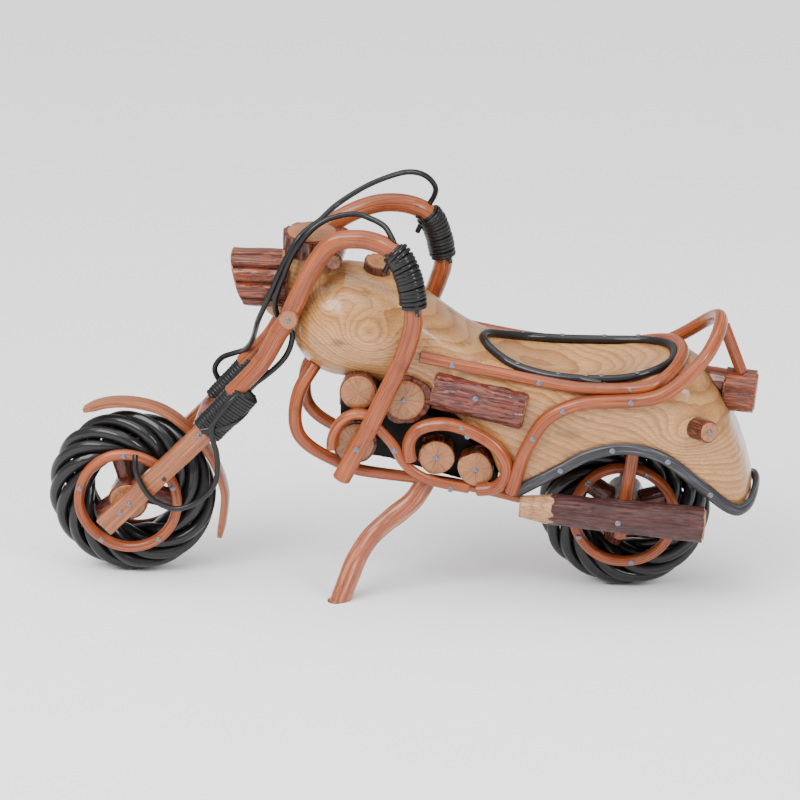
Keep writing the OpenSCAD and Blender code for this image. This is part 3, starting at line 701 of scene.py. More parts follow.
def bark_log(name, bark_light, bark_dark, face, face_dark, cracks, groove, scale=1.0):
    """A varnished log: fissured bark, and sawn faces with growth rings and radial cracks."""
    rim, ring_gap = (0.30, 0.10, 0.045), 0.85
    g = Graph(name)
    p = g.grain()
    x, y, z = g.parts(p)
    # bark
    plates = g.streaks(p, (0.85 * scale, 0.85 * scale, 0.09 * scale), 5.0, 0.62, 0.5)
    furrow = g.streaks(p, (0.55 * scale, 0.55 * scale, 0.055 * scale), 3.0, 0.5, 0.8)
    valley = g.ramp((furrow - 0.5).absolute(), (0.0, 1.0), (0.035, 0.55), (0.10, 0.0))
    flake = g.noise(g.stretched(p, (1.6, 1.6, 0.55)), scale, 4.0, 0.7)
    tone = g.noise(p, 0.13, 2.0)
    skin = g.over(bark_dark, bark_light, plates, (0.35, 0.0), (0.68, 1.0))
    skin = g.over(skin, (0.44, 0.20, 0.11), flake, (0.55, 0.0), (0.78, 0.38))
    skin = g.over(skin, (0.21, 0.07, 0.045), tone, (0.4, 0.0), (0.75, 0.3))
    skin = g.mix(valley * groove, skin, (0.045, 0.017, 0.012))
    # sawn face
    bent = g.noise(p, 0.16, 2.0) * 2.4
    reach = (x * x + y * y).root() + bent
    rings = (reach / ring_gap).fraction()
    turned = g.node("ShaderNodeMath", {"operation": "ARCTAN2"}, {0: y, 1: x})
    spoke = g.noise(g.vector(turned * 2.6, reach * 0.03, z * 0.2), 1.0, 3.0, 0.7, 0.4)
    crack = g.ramp((spoke - 0.5).absolute(), (0.0, 0.75), (0.012, 0.35), (0.03, 0.0))
    saw = g.streaks(p, (0.5, 3.2, 0.5), 3.0, 0.6)
    wood = g.over(face, face_dark, g.noise(p, 0.12, 3.0), (0.35, 0.0), (0.7, 0.6))
    wood = g.over(wood, face_dark, rings, (0.0, 0.05), (0.55, 0.12), (0.92, 0.5), (1.0, 0.0))
    wood = g.over(wood, (0.55, 0.34, 0.20), saw, (0.52, 0.0), (0.75, 0.25))
    wood = g.mix(crack * cracks * 0.8, wood, (0.07, 0.028, 0.014))
    pith = g.ramp(reach, (0.0, 0.7), (0.12, 0.0))
    wood = g.mix(pith * 0.5, wood, (0.16, 0.07, 0.03))
    zone = g.zone()
    outer = g.over(skin, rim, zone, (0.2, 0.0), (0.5, 1.0))
    colour = g.over(outer, wood, zone, (0.6, 0.0), (0.9, 1.0))
    is_face = g.ramp(zone, (0.6, 0.0), (0.9, 1.0))
    height = g.mix(is_face, (plates * 0.7 + flake * 0.5) - valley * 0.9, rings * 0.12 + saw * 0.2 - crack * 0.5)
    return g.finish(colour, 0.42, height, 0.4, coat=0.55, coat_roughness=0.16)


def fibrous_bark():
    """Dark, stringy bark with a purple cast, and pale whittled wood at the tip."""
    g = Graph("fibrous_bark")
    p = g.grain()
    strand = g.streaks(p, (1.1, 1.1, 0.06), 6.0, 0.7, 0.6)
    fluff = g.streaks(p, (2.6, 2.6, 0.5), 4.0, 0.7)
    patch = g.noise(p, 0.09, 3.0)
    skin = g.ramp(strand, (0.30, (0.09, 0.045, 0.042)), (0.52, (0.20, 0.105, 0.10)), (0.75, (0.32, 0.18, 0.16)))
    skin = g.over(skin, (0.10, 0.05, 0.055), patch, (0.42, 0.0), (0.7, 0.5))
    skin = g.over(skin, (0.36, 0.23, 0.20), fluff, (0.56, 0.0), (0.8, 0.4))
    x, y, z = g.parts(p)
    reach = (x * x + y * y).root()
    fine = g.streaks(p, (1.8, 1.8, 0.08), 4.0)
    wood = g.ramp(fine, (0.32, (0.44, 0.27, 0.16)), (0.62, (0.62, 0.44, 0.30)))
    wood = g.over(wood, (0.25, 0.12, 0.06), (reach / 0.9).fraction(), (0.6, 0.0), (0.95, 0.3), (1.0, 0.0))
    is_wood = g.ramp(g.zone(), (0.3, 0.0), (0.5, 1.0))
    colour = g.mix(is_wood, skin, wood)
    height = g.mix(is_wood, strand + fluff * 0.5, fine * 0.2)
    return g.finish(colour, 0.55, height, 0.55, coat=0.3, coat_roughness=0.25)


def flat_stick():
    """The fork's flat sticks: straight grain with a little figure, and a dark knot hole."""
    g = Graph("flat_stick")
    p = g.grain()
    x, y, z = g.parts(p)
    # the grain runs at 45 degrees, up and to the rear or down and to the front
    slant = 0.7071
    along = (x + z) * slant
    across = z * slant - x * slant
    q = g.vector(along, across, y)
    knot = (((x - KNOT_X) * (x - KNOT_X) + (z - KNOT_Z) * (z - KNOT_Z)) * -0.16).exponent()
    figure = g.streaks(q, (0.02, 0.5, 0.4), 3.0, 0.55, 0.3)
    lines = ((across + figure * 6.0 + knot * 3.0 + y * 0.4) / 1.25).fraction()
    fine = g.streaks(q, (0.05, 2.3, 2.3), 5.0, 0.65)
    colour = g.ramp(figure, (0.35, (0.47, 0.23, 0.12)), (0.62, (0.61, 0.34, 0.20)))
    colour = g.over(colour, (0.33, 0.14, 0.07), lines, (0.2, 0.0), (0.85, 0.5), (1.0, 0.0))
    colour = g.over(colour, (0.30, 0.13, 0.065), fine, (0.42, 0.5), (0.58, 0.0))
    colour = g.over(colour, (0.035, 0.014, 0.01), knot, (0.70, 0.0), (0.93, 0.95))
    return g.finish(colour, 0.42, fine, 0.14, coat=0.6, coat_roughness=0.16)


def branch():
    """A peeled branch: reddish skin left in streaks over pale wood."""
    g = Graph("branch")
    p = g.grain()
    strip = g.streaks(p, (0.55, 0.55, 0.04), 5.0, 0.6, 0.4)
    fleck = g.streaks(p, (1.7, 1.7, 0.25), 4.0, 0.7)
    tone = g.streaks(p, (0.1, 0.1, 0.03), 2.0)
    red = g.ramp(tone, (0.35, (0.52, 0.235, 0.13)), (0.65, (0.42, 0.175, 0.095)))
    colour = g.over(red, (0.64, 0.43, 0.33), strip, (0.50, 0.0), (0.64, 0.75))
    colour = g.over(colour, (0.19, 0.065, 0.032), fleck, (0.56, 0.0), (0.70, 0.6))
    colour = g.mix(g.zone(), colour, (0.42, 0.22, 0.11))
    return g.finish(colour, 0.45, strip * 0.6 + fleck * 0.6, 0.22, coat=0.6, coat_roughness=0.17)


def black_cane(name, base, worn, gloss, lines, streaks=0.6, coat_roughness=0.13):
    """Cane dyed black, with faint grey lengthwise lines and varnish."""
    roughness = 0.5
    g = Graph(name)
    p = g.grain()
    fine = g.streaks(p, (lines, lines, 0.04), 5.0, 0.65)
    patch = g.streaks(p, (0.3, 0.3, 0.05), 3.0)
    colour = g.over(base, worn, fine, (0.50, 0.0), (0.74, streaks))
    colour = g.over(colour, worn, patch, (0.55, 0.0), (0.8, 0.35))
    rough = g.ramp(fine, (0.3, roughness), (0.8, roughness + 0.15))
    return g.finish(colour, rough, fine + patch * 0.5, 0.14, coat=gloss, coat_roughness=coat_roughness,
                    specular=0.2)


def painted_shade_block():
    g = Graph("painted_shade_block")
    p = g.grain()
    rough = g.noise(p, 0.6, 5.0, 0.6)
    # near-black colour: painted shade for the dark hollow between the engine logs, with a little rough noise in it
    colour = g.ramp(rough, (0.35, (0.012, 0.009, 0.008)), (0.7, (0.035, 0.026, 0.022)))
    return g.finish(colour, 0.7, rough, 0.3, coat=0.05, coat_roughness=0.3, specular=0.2)


def nail_steel():
    g = Graph("nail_steel")
    p = g.grain()
    dents = g.noise(p, 1.4, 3.0)
    scratch = g.streaks(p, (0.6, 6.0, 1.0), 3.0)
    colour = g.ramp(dents, (0.3, (0.24, 0.25, 0.29)), (0.7, (0.44, 0.45, 0.50)))
    return g.finish(colour, g.ramp(scratch, (0.3, 0.26), (0.7, 0.45)), dents + scratch * 0.3, 0.12, metallic=0.85)


def studio_floor():
    g = Graph("studio_floor")
    place = g.node("ShaderNodeTexCoord", output="Object")
    colour = g.ramp(g.noise(place, 30.0, 2.0), (0.3, (0.86, 0.86, 0.865)), (0.7, (0.88, 0.88, 0.88)))
    return g.finish(colour, 0.85, specular=0.1, richness=0.6)


WOOD = carved_wood()
CANE = cane("cane", light=(0.58, 0.265, 0.13), mid=(0.47, 0.195, 0.09), dark=(0.24, 0.085, 0.045))
# each bark_log: light and dark bark, light and dark sawn wood, then how strong its cracks and furrows are
SLICE = bark_log("slice_wood", (0.48, 0.22, 0.135), (0.20, 0.08, 0.05), (0.58, 0.34, 0.20),
                 (0.44, 0.23, 0.125), 0.2, 0.8)
ENGINE_LOG = bark_log("engine_log", (0.50, 0.23, 0.14), (0.22, 0.085, 0.05), (0.55, 0.33, 0.185),
                      (0.41, 0.215, 0.115), 0.3, 0.6)
LAMP_BARK = bark_log("lamp_bark", (0.54, 0.225, 0.115), (0.33, 0.12, 0.065), (0.5, 0.28, 0.16),
                     (0.34, 0.16, 0.08), 1.0, 0.55)
SLAB_BARK = bark_log("slab_bark", (0.44, 0.19, 0.145), (0.30, 0.115, 0.09), (0.42, 0.2, 0.11),
                     (0.30, 0.13, 0.06), 0.8, 0.6, scale=0.75)
PEG = cane("peeled_peg", light=(0.57, 0.31, 0.185), mid=(0.48, 0.23, 0.13), dark=(0.26, 0.105, 0.06))
FIBROUS = fibrous_bark()
STICK = flat_stick()
BRANCH = branch()
BLACK_CANE = black_cane("black_cane", (0.035, 0.034, 0.038), (0.12, 0.118, 0.13), 0.5, 1.6, coat_roughness=0.09)
TRIM_CANE = black_cane("trim_cane", (0.10, 0.10, 0.11), (0.33, 0.325, 0.35), 0.35, 1.1, streaks=0.9)
REED = black_cane("black_reed", (0.032, 0.031, 0.034), (0.14, 0.138, 0.15), 0.4, 3.0)
# the engine block's near-black material is painted shade for the hollow between the engine logs
SHADE_BLOCK = painted_shade_block()
STEEL = nail_steel()

# ---------------------------------------------------------------- camera, floor and light


def camera():
    """The photograph's viewing angle: a little from the bike's front left and above."""
    azimuth, elevation, distance = math.radians(5), math.radians(17), 1.5
    aim = Vector((-0.0003, bike_origin.y, 0.0935))
    data = bpy.data.cameras.new("camera")
    data.lens = 135
    data.sensor_width = 36
    obj = bpy.data.objects.new("camera", data)
    level = math.cos(elevation)
    away = Vector((math.sin(azimuth) * level, -math.cos(azimuth) * level, math.sin(elevation)))
    obj.location = aim + away * distance
    obj.rotation_euler = (-away).to_track_quat("-Z", "Y").to_euler()
    bpy.context.scene.collection.objects.link(obj)
    bpy.context.scene.camera = obj


def lamp(name, place, size, power, aim=(0, 0, 0.1)):
    data = bpy.data.lights.new(name, "AREA")
    data.shape = "RECTANGLE"
    data.size, data.size_y = size
    data.energy = power
    obj = bpy.data.objects.new(name, data)
    obj.location = place
    obj.rotation_euler = (Vector(aim) - Vector(place)).to_track_quat("-Z", "Y").to_euler()
    bpy.context.scene.collection.objects.link(obj)


def studio():
    mesh = bpy.data.meshes.new("floor")
    mesh.from_pydata([(-6, -6, 0), (6, -6, 0), (6, 6, 0), (-6, 6, 0)], [], [(0, 1, 2, 3)])
    mesh.materials.append(studio_floor())
    floor = bpy.data.objects.new("floor", mesh)
    bpy.context.scene.collection.objects.link(floor)
    world = bpy.data.worlds.new("studio")
    world.use_nodes = True
    world.node_tree.nodes["Background"].inputs["Color"].default_value = (1, 1, 1, 1)
    world.node_tree.nodes["Background"].inputs["Strength"].default_value = 0.6
    bpy.context.scene.world = world
    lamp("key", (-0.65, -0.95, 1.05), (1.0, 0.6), 22)
    lamp("fill", (1.0, -0.9, 0.9), (0.4, 0.6), 12)
    sun = bpy.data.lights.new("sky", "SUN")
    sun.energy = 3.4
    sun.angle = math.radians(80)
    sky = bpy.data.objects.new("sky", sun)
    sky.rotation_euler = (math.radians(14), math.radians(-8), 0)
    bpy.context.scene.collection.objects.link(sky)


camera()
studio()

# ---------------------------------------------------------------- carved body and blocks


def knife_work(g, normal):
    """Very slight unevenness of hand carving."""
    return normal * (0.22 * noise.noise(g * 0.06) + 0.05 * noise.noise(g * 0.3))


def leg_work(g, normal):
    """Fork legs are whittled sticks: slightly wavy, with a knot hole in the outer face."""
    knot = math.exp(-(((g.x - KNOT_X) / 1.3) ** 2 + ((g.z - KNOT_Z) / 1.8) ** 2))
    wave = 0.35 * noise.noise(Vector((g.x * 0.05, g.y * 0.2, g.z * 0.05))) + 0.12 * noise.noise(g * 0.35)
    return normal * (wave - 0.9 * knot)


softened("body_carving", "body", 1.0, 5, WOOD, "carved_wood", knife_work)
softened("head_block_peeled", "head_block", 0.7, 3, WOOD, "carved_wood", knife_work)
# the engine block gets a near-black colour, painted shade for the dark hollow between the engine logs
softened("engine_block_painted_shade", "engine_block", 1.0, 3, SHADE_BLOCK, "black_block")
for side in ("left", "right"):
    softened(f"fork_leg_{side}_stick", f"fork_leg_{side}", 0.55, 4, STICK, "flat_stick", leg_work)

# ---------------------------------------------------------------- canes


def cane_of(node, corners, seed, material=CANE, slot="cane", half=None, **how):
    """Bent canes that follow the middle lines of the node's solids, at their own thickness."""
    shapes = []
    for i, solid in enumerate(solids(node)):
        line, radii = middle_line(solid, corners)
        shapes.append(sweep(line, half or (radii[0] / MM, radii[0] / MM), seed + i * 1.7, **how))
    make(f"{node}_cane", shapes, material, slot, "frame", node)


for number, side in enumerate(("left", "right")):
    cane_of(f"handlebar_{side}", BAR_CORNERS, 1.3 + number, wander=0.05)
    cane_of(f"cradle_{side}", CANE_CORNERS, 4.1 + number, half=lambda u: (3.5 - 0.7 * u, 3.5 - 1.0 * u), side=RIGHT,
            wander=0.05)
    cane_of(f"case_loop_{side}", CANE_CORNERS, 6.2 + number)
cane_of("header_arches", CANE_CORNERS, 10.4, half=(3.3, 2.8), side=RIGHT)
cane_of("braces", THIN_CORNERS, 11.9)
cane_of("side_rail", THIN_CORNERS, 13.1)
cane_of("sissy_bar", THIN_CORNERS, 14.6)


def fender_half(u):
    """A flat strip, pointed at both ends."""
    point = min(1.0, 0.35 + 14 * min(u, 1 - u))
    return (5.4 - 0.8 * u) * (0.45 + 0.55 * point), 2.0 * (0.5 + 0.5 * point)


def off_the_tail(p):
    """Outwards from the body: sideways along the flanks, rearwards round the tail."""
    tail_starts = 140
    q = upright(p)
    return RIGHT * q.y + LENGTHWAYS * max(0.0, q.x - tail_starts)


cane_of("front_fender", CANE_CORNERS, 16.0, PEG, half=fender_half, side=RIGHT, outline=strip_outline, wander=0.06)
cane_of("fender_trim", THIN_CORNERS, 17.5, TRIM_CANE, "black_cane", half=(1.8, 3.0), side=off_the_tail, wander=0.05)


def bar_line(side, step=MM):
    """The middle of a handlebar, in even steps."""
    line, _ = middle_line(only(f"handlebar_{side}"), BAR_CORNERS)
    return catmull(line, step)[0]


def nearest(line, place):
    return min(line, key=lambda p: (p - place).length)


def brake_cable(side, seed):
    """A stiff reed whose upper end goes into the handlebar."""
    cable, radii = middle_line(only(f"brake_cable_{side}"), THIN_CORNERS)
    if cable[0].z > cable[-1].z:
        cable.reverse()
    line = cable + [cable[-1].lerp(nearest(bar_line(side), cable[-1]), 0.75)]
    shape = sweep(line, radii[len(radii) // 2] / MM, seed, 12, wander=0.06)
    make(f"brake_cable_{side}_reed", [shape], REED, "black_reed", "frame", f"brake_cable_{side}")


brake_cable("left", 8.8)
brake_cable("right", 9.8)


def kickstand():
    """A crooked branch with a small knot, sawn off flat where it stands."""
    line, radii = middle_line(only("kickstand"), BRANCH_CORNERS, None)
    if line[0].z < line[-1].z:
        line.reverse()
    line = [p for p in line if p.z > 1.5 * radii[0]]
    line.append(line[-1] + (line[-1] - line[-2]).normalized() * (line[-1].z * 1.5))
    radius = radii[0] / MM
    shape = sweep(line, (radius, radius), 19.0, 24, 1.2, wander=0.09, knots=((22, 0.07, 5), (58, 0.05, 8)))
    shape.co = [Vector((v.x, v.y, max(v.z, 0.0))) for v in shape.co]
    make("kickstand_branch", [shape], BRANCH, "branch", "frame", "kickstand")


kickstand()


def seat_ring():
    """The seat's black cane: one length, its thinned end lapped under its start and a little frayed."""
    co = only("seat_ring").co
    middle = Vector((co.min(0) + co.max(0)) / 2)
    flat = [Vector(c) - middle for c in co]
    turn = np.array([math.atan2(d.y, d.x) for d in flat])
    bins, corners_used, overlap = 60, 24, 3
    line = []
    for k in range(bins):
        centre = -math.pi + TAU * (k + 0.5) / bins
        gap = np.abs((turn - centre + math.pi) % TAU - math.pi)
        line.append(Vector(co[np.argsort(gap)[:corners_used]].mean(0)))
    line = [(line[k - 1] + line[k] * 2 + line[(k + 1) % bins]) / 4 for k in range(bins)]
    start = int(bins * 0.27)
    ordered = line[start:] + line[:start + overlap]
    count = len(ordered)
    lap = [p - RIGHT * (max(0, k - count + 4) * 0.8 * MM) - UP * (max(0, k - count + 4) * 0.35 * MM)
           for k, p in enumerate(ordered)]
    shapes = [sweep(lap, lambda u: (2.1 - 0.5 * max(0, u - 0.95) / 0.05,) * 2, 21.0, 16, 1.4, wander=0.08)]
    for k in range(4):
        tail = lap[-1] + (RIGHT * (k - 1.5) + UP * ((k % 2) - 0.5)) * (0.5 * MM)
        way = (lap[-1] - lap[-2]).normalized()
        fibre = [tail - way * 2 * MM, tail + way * MM, tail + way * (2.4 + 0.5 * k) * MM - RIGHT * 0.3 * k * MM]
        shapes.append(sweep(fibre, 0.28, 22.0 + k, 6, 0.7))
    make("seat_ring_cane", shapes, BLACK_CANE, "black_cane", "frame", "seat_ring")


seat_ring()


def straight(node, material, slot, seed):
    """Straight round sticks of a node, as slightly uneven ones."""
    shapes = []
    for i, solid in enumerate(solids(node)):
        outer, inner, radius, _ = cylinder(solid, long_axis(solid))
        line = [outer.lerp(inner, u) for u in (0, 0.25, 0.5, 0.75, 1)]
        shapes.append(sweep(line, radius / MM, seed + i * 2.1, wander=0.04))
    make(f"{node}_stick", shapes, material, slot, "frame", node)


straight("head_peg", PEG, "cane", 31)
straight("tail_stay", CANE, "cane", 33)
straight("rear_strut_left", CANE, "cane", 34)
straight("rear_strut_right", CANE, "cane", 35)
straight("front_axle", PEG, "slice_wood", 36)
straight("rear_axle", PEG, "slice_wood", 37)

# ---------------------------------------------------------------- logs


def logs_of(node, toward, material, slot, seed, body="frame", name=None, bark=None, apart=3.7, **how):
    """Bark logs in place of a node's cylinders; toward(solid) says which way each one's outer face looks.
    bark is its thickness in mm where the CAD's own flat face doesn't give the peeled core."""
    shapes = []
    for i, solid in enumerate(solids(node)):
        outer, inner, radius, core = cylinder(solid, toward(solid) if callable(toward) else toward)
        core = radius / MM - bark if bark else core / MM
        shapes.append(log(outer, inner, radius / MM, core, seed + i * apart, **how))
    make(name or f"{node}_wood", shapes, material, slot, body, node, smooth_angle=50)


def sideways(solid):
    """Outwards from the bike's middle plane."""
    return RIGHT if (Vector(solid.co.mean(0)) - bike_origin).dot(RIGHT) > 0 else -RIGHT


for place, seed, how in (("upper_front", 41, dict(rough=0.3, lobes=0.04)),
                         ("upper_rear", 43, dict(rough=0.8, knobs=1.6, lobes=0.05, jag=1.6, around=96)),
                         ("lower_front", 45, dict(rough=0.4, lobes=0.05, jag=1.0)),
                         ("case_front", 47, dict(rough=0.6, lobes=0.05, knobs=1.0, jag=1.2)),
                         ("case_rear", 49, dict(rough=0.6, lobes=0.06, knobs=1.1, jag=1.2))):
    logs_of(f"{place}_logs", sideways, ENGINE_LOG, "engine_log", seed, **how)
logs_of("fuel_cap", UP, SLICE, "slice_wood", 51, rough=0.25, lobes=0.06, around=56)
logs_of("speedometer", UP, SLICE, "slice_wood", 53, rough=1.1, lobes=0.05, fissures=14.0, around=96,
        grooves=((3.6, 0.05, 1.2), (4.4, 0.07, 1.6), (5.3, 0.05, 1.3)))
logs_of("tail_light", LENGTHWAYS, LAMP_BARK, "bark", 55, rough=0.6, lobes=0.05,
        grooves=((3.5, 0.08, 0.9), (2.6, 0.06, 0.6)))
for number, side in enumerate(("left", "right")):
    logs_of(f"turn_signal_{side}", sideways, SLICE, "slice_wood", 57 + number, rough=0.2, lobes=0.04, around=56)


def headlight():
    """The lamp: a log sawn at a slant, its bark split by deep lengthwise grooves."""
    solid = only("headlight")
    outer, inner, radius, _ = cylinder(solid, LENGTHWAYS)
    axis = (inner - outer).normalized()
    flats = solid.flats()
    front = max((flat for flat in flats if flat.normal.dot(-LENGTHWAYS) > 0.8), key=lambda flat: flat.area).normal
    # the axis meets the slanted face half way between its first and last corner
    reaches = [Vector(solid.co[i]).dot(axis) for flat in flats if flat.normal.dot(front) > 0.999
               for i in flat.corners]
    start = outer + axis * ((max(reaches) + min(reaches)) / 2 - outer.dot(axis))
    grooves = ((2.45, 0.07, 3.2), (3.05, 0.06, 2.6), (3.75, 0.08, 3.4), (1.9, 0.06, 2.4),
               (4.6, 0.06, 2.0), (1.2, 0.07, 2.6), (0.3, 0.06, 2.2), (5.4, 0.07, 2.4))
    shape = log(start, outer, radius / MM, radius / MM - 1.6, 61.0, jag=0.6, around=120, step=0.8,
                shear=front / front.dot(-axis), grooves=grooves)
    make("headlight_log", [shape], LAMP_BARK, "bark", "frame", "headlight", smooth_angle=50)


headlight()


def side_logs():
    """Bark slabs: the outer half of a log shows on each flank."""
    shapes = []
    for i, solid in enumerate(solids("side_logs")):
        way = sideways(solid)
        ends = (flat for flat in solid.flats() if flat.normal.dot(LENGTHWAYS) < -0.8)
        axis = -max(ends, key=lambda flat: flat.area).normal
        across = axis.cross(way).normalized()
        outward = across.cross(axis).normalized()
        if outward.dot(way) < 0:
            outward.negate()
        along, spread, reach = (solid.co @ np.array(v) for v in (axis, across, outward))
        radius = float(np.ptp(spread)) / 2
        centre = across * float(spread.min() + spread.max()) / 2 + outward * (float(reach.max()) - radius)
        shapes.append(log(centre + axis * float(along.min()), centre + axis * float(along.max()), radius / MM,
                          radius / MM - 1.2, 63 + i * 2.2, rough=1.1, jag=1.1, lobes=0.02, around=96, fissures=12.0))
    make("side_logs_bark", shapes, SLAB_BARK, "bark", "frame", "side_logs", smooth_angle=50)


side_logs()
for node, name, seed in (("bar_spacer", "bar_spacer_log", 65), ("fork_cross_stick", "fork_cross_log", 67)):
    logs_of(node, RIGHT, LAMP_BARK, "bark", seed, name=name, bark=0.7, rough=0.3, around=48)


def tail_bracket():
    """A bark stub whose inner end is cut at a slant."""
    solid = only("tail_bracket")
    # about the way the CAD's stub points, and its radius in mm
    axis, radius = Vector((1, 0.22, -0.2)).normalized(), 7.2
    slant = max((flat for flat in solid.flats() if flat.count > 3 and flat.normal.dot(-LENGTHWAYS) > 0.3),
                key=lambda flat: flat.area)
    face = Vector(solid.co[slant.corners].mean(0))
    low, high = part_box("tail_light")
    inner = face + axis * (((low + high) / 2).x - face.x)
    shape = log(face, inner, radius, radius - 1.3, 69.0, around=64, shear=slant.normal / slant.normal.dot(axis))
    make("tail_bracket_log", [shape], LAMP_BARK, "bark", "frame", "tail_bracket", smooth_angle=50)


tail_bracket()
# fibrous bark with a whittled pale tip in front and a pale sawn face behind
logs_of("muffler", -LENGTHWAYS, FIBROUS, "fibrous_bark", 71.0, name="muffler_log", bark=1.6, rough=0.7, jag=1.0,
        lobes=0.02, around=96, core_end=(13.0, 5.3), skin_radius=7.6, fissures=16.0)

# ---------------------------------------------------------------- wheels


def twisted_tyre(which, centre, seed):
    """One long cane laid round and round the wheel, twisting round itself as it goes."""
    tyre_r = float(np.ptp(only(f"{which}_tyre").co @ np.array(RIGHT))) / 2 / MM
    ring_r = wheel_r / MM - tyre_r
    laps, twists, strand, inside, count = 7, 13, 3.2, 0.15, 760
    line = []
    for i in range(count):
        u = i / count
        around = TAU * laps * u
        s, c = math.sin(TAU * u), math.cos(TAU * u)
        stray = 0.9 * noise.noise((s * 9 + seed, c * 9, seed))
        turn = TAU * twists * u + 0.16 * noise.noise((s * 12, c * 12 + seed, 4.4))
        off = tyre_r - strand - inside - max(0.0, -stray)
        r = ring_r + off * math.cos(turn)
        line.append(centre + (LENGTHWAYS * (r * math.cos(around)) + UP * (r * math.sin(around))
                              + RIGHT * (off * math.sin(turn))) * MM)
    shape = sweep(line, strand, seed, 12, 2.0, closed=True, wander=0.06,
                  normals=lambda p: RIGHT + (p - centre).normalized() * 0.01)
    make(f"{which}_tyre_canes", [shape], BLACK_CANE, "black_cane", f"{which}_wheel", f"{which}_tyre")


def rims(which, seed):
    shapes = []
    corners = 48
    for i, solid in enumerate(solids(f"{which}_rims")):
        middle = Vector((solid.co.min(0) + solid.co.max(0)) / 2)
        thick = float(np.ptp(solid.co @ np.array(RIGHT))) / 2 / MM
        reach = float(np.ptp(solid.co[:, 0])) / 2 / MM - thick
        line = []
        for k in range(corners):
            g = TAU * k / corners
            r = reach + 0.35 * ring_noise(g, 1.3, seed + i * 4)
            line.append(middle + (LENGTHWAYS * math.cos(g) + UP * math.sin(g)) * (r * MM))
        shapes.append(sweep(line, thick, seed + i, 16, 1.5, closed=True, side=RIGHT, wander=0.08))
    make(f"{which}_rim_canes", shapes, CANE, "cane", f"{which}_wheel", f"{which}_rims")


for which, centre, seed in (("front", front_centre, 81.0), ("rear", rear_centre, 91.0)):
    twisted_tyre(which, centre, seed)
    rims(which, seed + 1)
    axle_gap = 0.08  # running clearance in mm, as in part.scad
    bore = float(np.ptp(only(f"{which}_axle").co[:, 0])) / 2 / MM + axle_gap
    logs_of(f"{which}_hub", RIGHT, ENGINE_LOG, "slice_wood", seed + 2, f"{which}_wheel", f"{which}_hub_log", 1.1,
            rough=0.4, lobes=0.04, bore=bore)
    logs_of(f"{which}_spokes", lambda solid: (Vector(solid.co.mean(0)) - centre).normalized(), SLAB_BARK, "bark",
            seed + 3, f"{which}_wheel", f"{which}_spoke_logs", 0.8, 2.3, rough=0.6, lobes=0.12, jag=0.5, around=48)

# ---------------------------------------------------------------- windings


def grip(side, turns, seed):
    """Two ragged layers of black reed round the bar, with loose tails at both ends."""
    bar = bar_line(side, 0.5 * MM)
    places = np.array([tuple(p) for p in bar])
    near = [int(np.argmin(((places - c) ** 2).sum(1))) for c in only(f"grip_wrap_{side}").co]
    line = bar[min(near):max(near) + 1:8]
    reed, full, under = (1.1, 0.8), 6.9, 6.9 - 1.25
    shapes = [wound(line, lambda u: (under, under), turns + 1.5, reed, seed, 0.2),
              wound(line, lambda u: (full, full), turns, reed, seed + 1, 0.65, ragged=0.25)]
    for end, turn in ((0, 1), (-1, -1)):
        away = (line[end] - line[end + turn]).normalized()
        for k in range(2):
            g = 2.3 * k + seed
            out_way = (RIGHT * math.cos(g) + away.cross(RIGHT) * math.sin(g)).normalized()
            root = line[end] + out_way * (full - 1.0) * MM - away * 2 * MM
            reach = 4.0 + 1.2 * k
            tail = [root, root + away * 1.6 * MM, root + (away * reach * 0.7 + out_way * 0.2) * MM,
                    root + (away * reach + out_way * (0.3 + 0.8 * k)) * MM]
            shapes.append(sweep(tail, (0.55, 1.05), seed + k, 8, 0.8, side=out_way, outline=plain_outline))
    make(f"grip_wrap_{side}_reed", shapes, REED, "black_reed", "frame", f"grip_wrap_{side}")


grip("left", 15, 101.0)
grip("right", 13, 107.0)


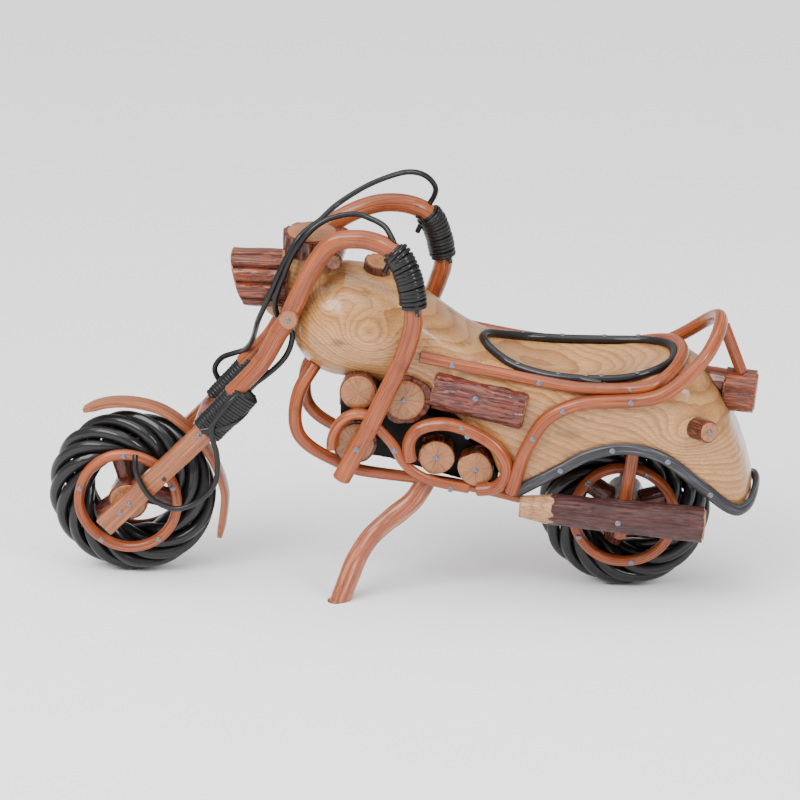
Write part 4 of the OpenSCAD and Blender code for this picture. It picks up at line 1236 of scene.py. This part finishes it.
def lashing(side, seed):
    """Tight turns of reed round the fork leg and the bar's foot, with a band laid across them."""
    solid = only(f"lashing_{side}")
    axis = long_axis(solid)
    if axis.dot(UP) < 0:
        axis.negate()
    a = (RIGHT - axis * RIGHT.dot(axis)).normalized()
    b = axis.cross(a)
    along, s_a, s_b = (solid.co @ np.array(v) for v in (axis, a, b))
    low, high = float(along.min()), float(along.max())
    ends = []
    for half in (along < (low + high) / 2, along > (low + high) / 2):
        ca, cb = (float(v[half].min() + v[half].max()) / 2 for v in (s_a, s_b))
        ends.append((a * ca + b * cb, *(float(np.ptp(v[half])) / 2 / MM for v in (s_a, s_b))))
    (foot, foot_a, foot_b), (top, top_a, top_b) = ends
    line = [foot.lerp(top, u) + axis * (low + (high - low) * (0.04 + 0.92 * u)) for u in (0, 0.33, 0.66, 1)]

    def reach(u):
        return foot_a + (top_a - foot_a) * u, foot_b + (top_b - foot_b) * u
    shapes = [sweep(line, lambda u: tuple(r - 1.0 for r in reach(u)), seed + 9, side=RIGHT, outline=plain_outline),
              wound(line, reach, 17, (0.95, 0.7), seed, 0.1, 30, stray=0.12),
              wound(line, reach, 0.45, (1.3, 0.5), seed + 3, 0.45, 80, layer=0.55, stray=0.0)]
    make(f"lashing_{side}_reed", shapes, REED, "black_reed", "frame", f"lashing_{side}")


lashing("left", 111.0)
lashing("right", 117.0)


def cable_stub(side, seed):
    """Where the brake cable comes out under the bar, its end is cut off short."""
    cable, _ = middle_line(only(f"brake_cable_{side}"), THIN_CORNERS)
    entry = max((cable[0], cable[-1]), key=lambda p: p.z)
    through = nearest(bar_line(side), entry) + LENGTHWAYS * (1.5 * MM)
    way = (-UP - LENGTHWAYS * 0.45).normalized()
    line = [through, through + way * 5 * MM, through + way * 12.5 * MM]
    make(f"cable_stub_{side}", [sweep(line, 1.35, seed, 12, 0.8)], REED, "black_reed", "frame")


cable_stub("left", 121.0)
cable_stub("right", 122.0)

# ---------------------------------------------------------------- nails


def nails(node, body, seed):
    """Round-head wire nails, each a little crooked."""
    shapes = []
    head_height = 0.7
    for i, solid in enumerate(solids(node)):
        middle = Vector(solid.co.mean(0))
        axis = long_axis(solid)
        along = solid.co @ np.array(axis)
        centre = middle - axis * middle.dot(axis)
        off = np.linalg.norm(solid.co - np.outer(along, np.array(axis)) - np.array(centre), axis=1)
        head = along[off > off.max() * 0.8]
        if head.mean() < (along.min() + along.max()) / 2:
            axis.negate()
            along = -along
        head_r = float(off.max()) / MM
        crooked = Vector([noise.noise((i, seed, k)) for k in (1, 2, 3)]) * 0.25
        base = centre + axis * (float(along.max()) - head_height * MM)
        profile = [(-3, 0), (-3, head_r * 0.45), (-0.25, head_r * 0.5), (-0.25, head_r * 0.92), (0.02, head_r * 1.02),
                   (0.28, head_r * 0.97), (0.5, head_r * 0.74), (0.63, head_r * 0.4), (0.68, 0)]
        shapes.append(lathe(base, (axis + crooked).normalized(), profile))
    make(f"{node}_round_heads", shapes, STEEL, "nail_steel", body, node)


nails("frame_nails", "frame", 7)
nails("front_wheel_nails", "front_wheel", 8)
nails("rear_wheel_nails", "rear_wheel", 9)
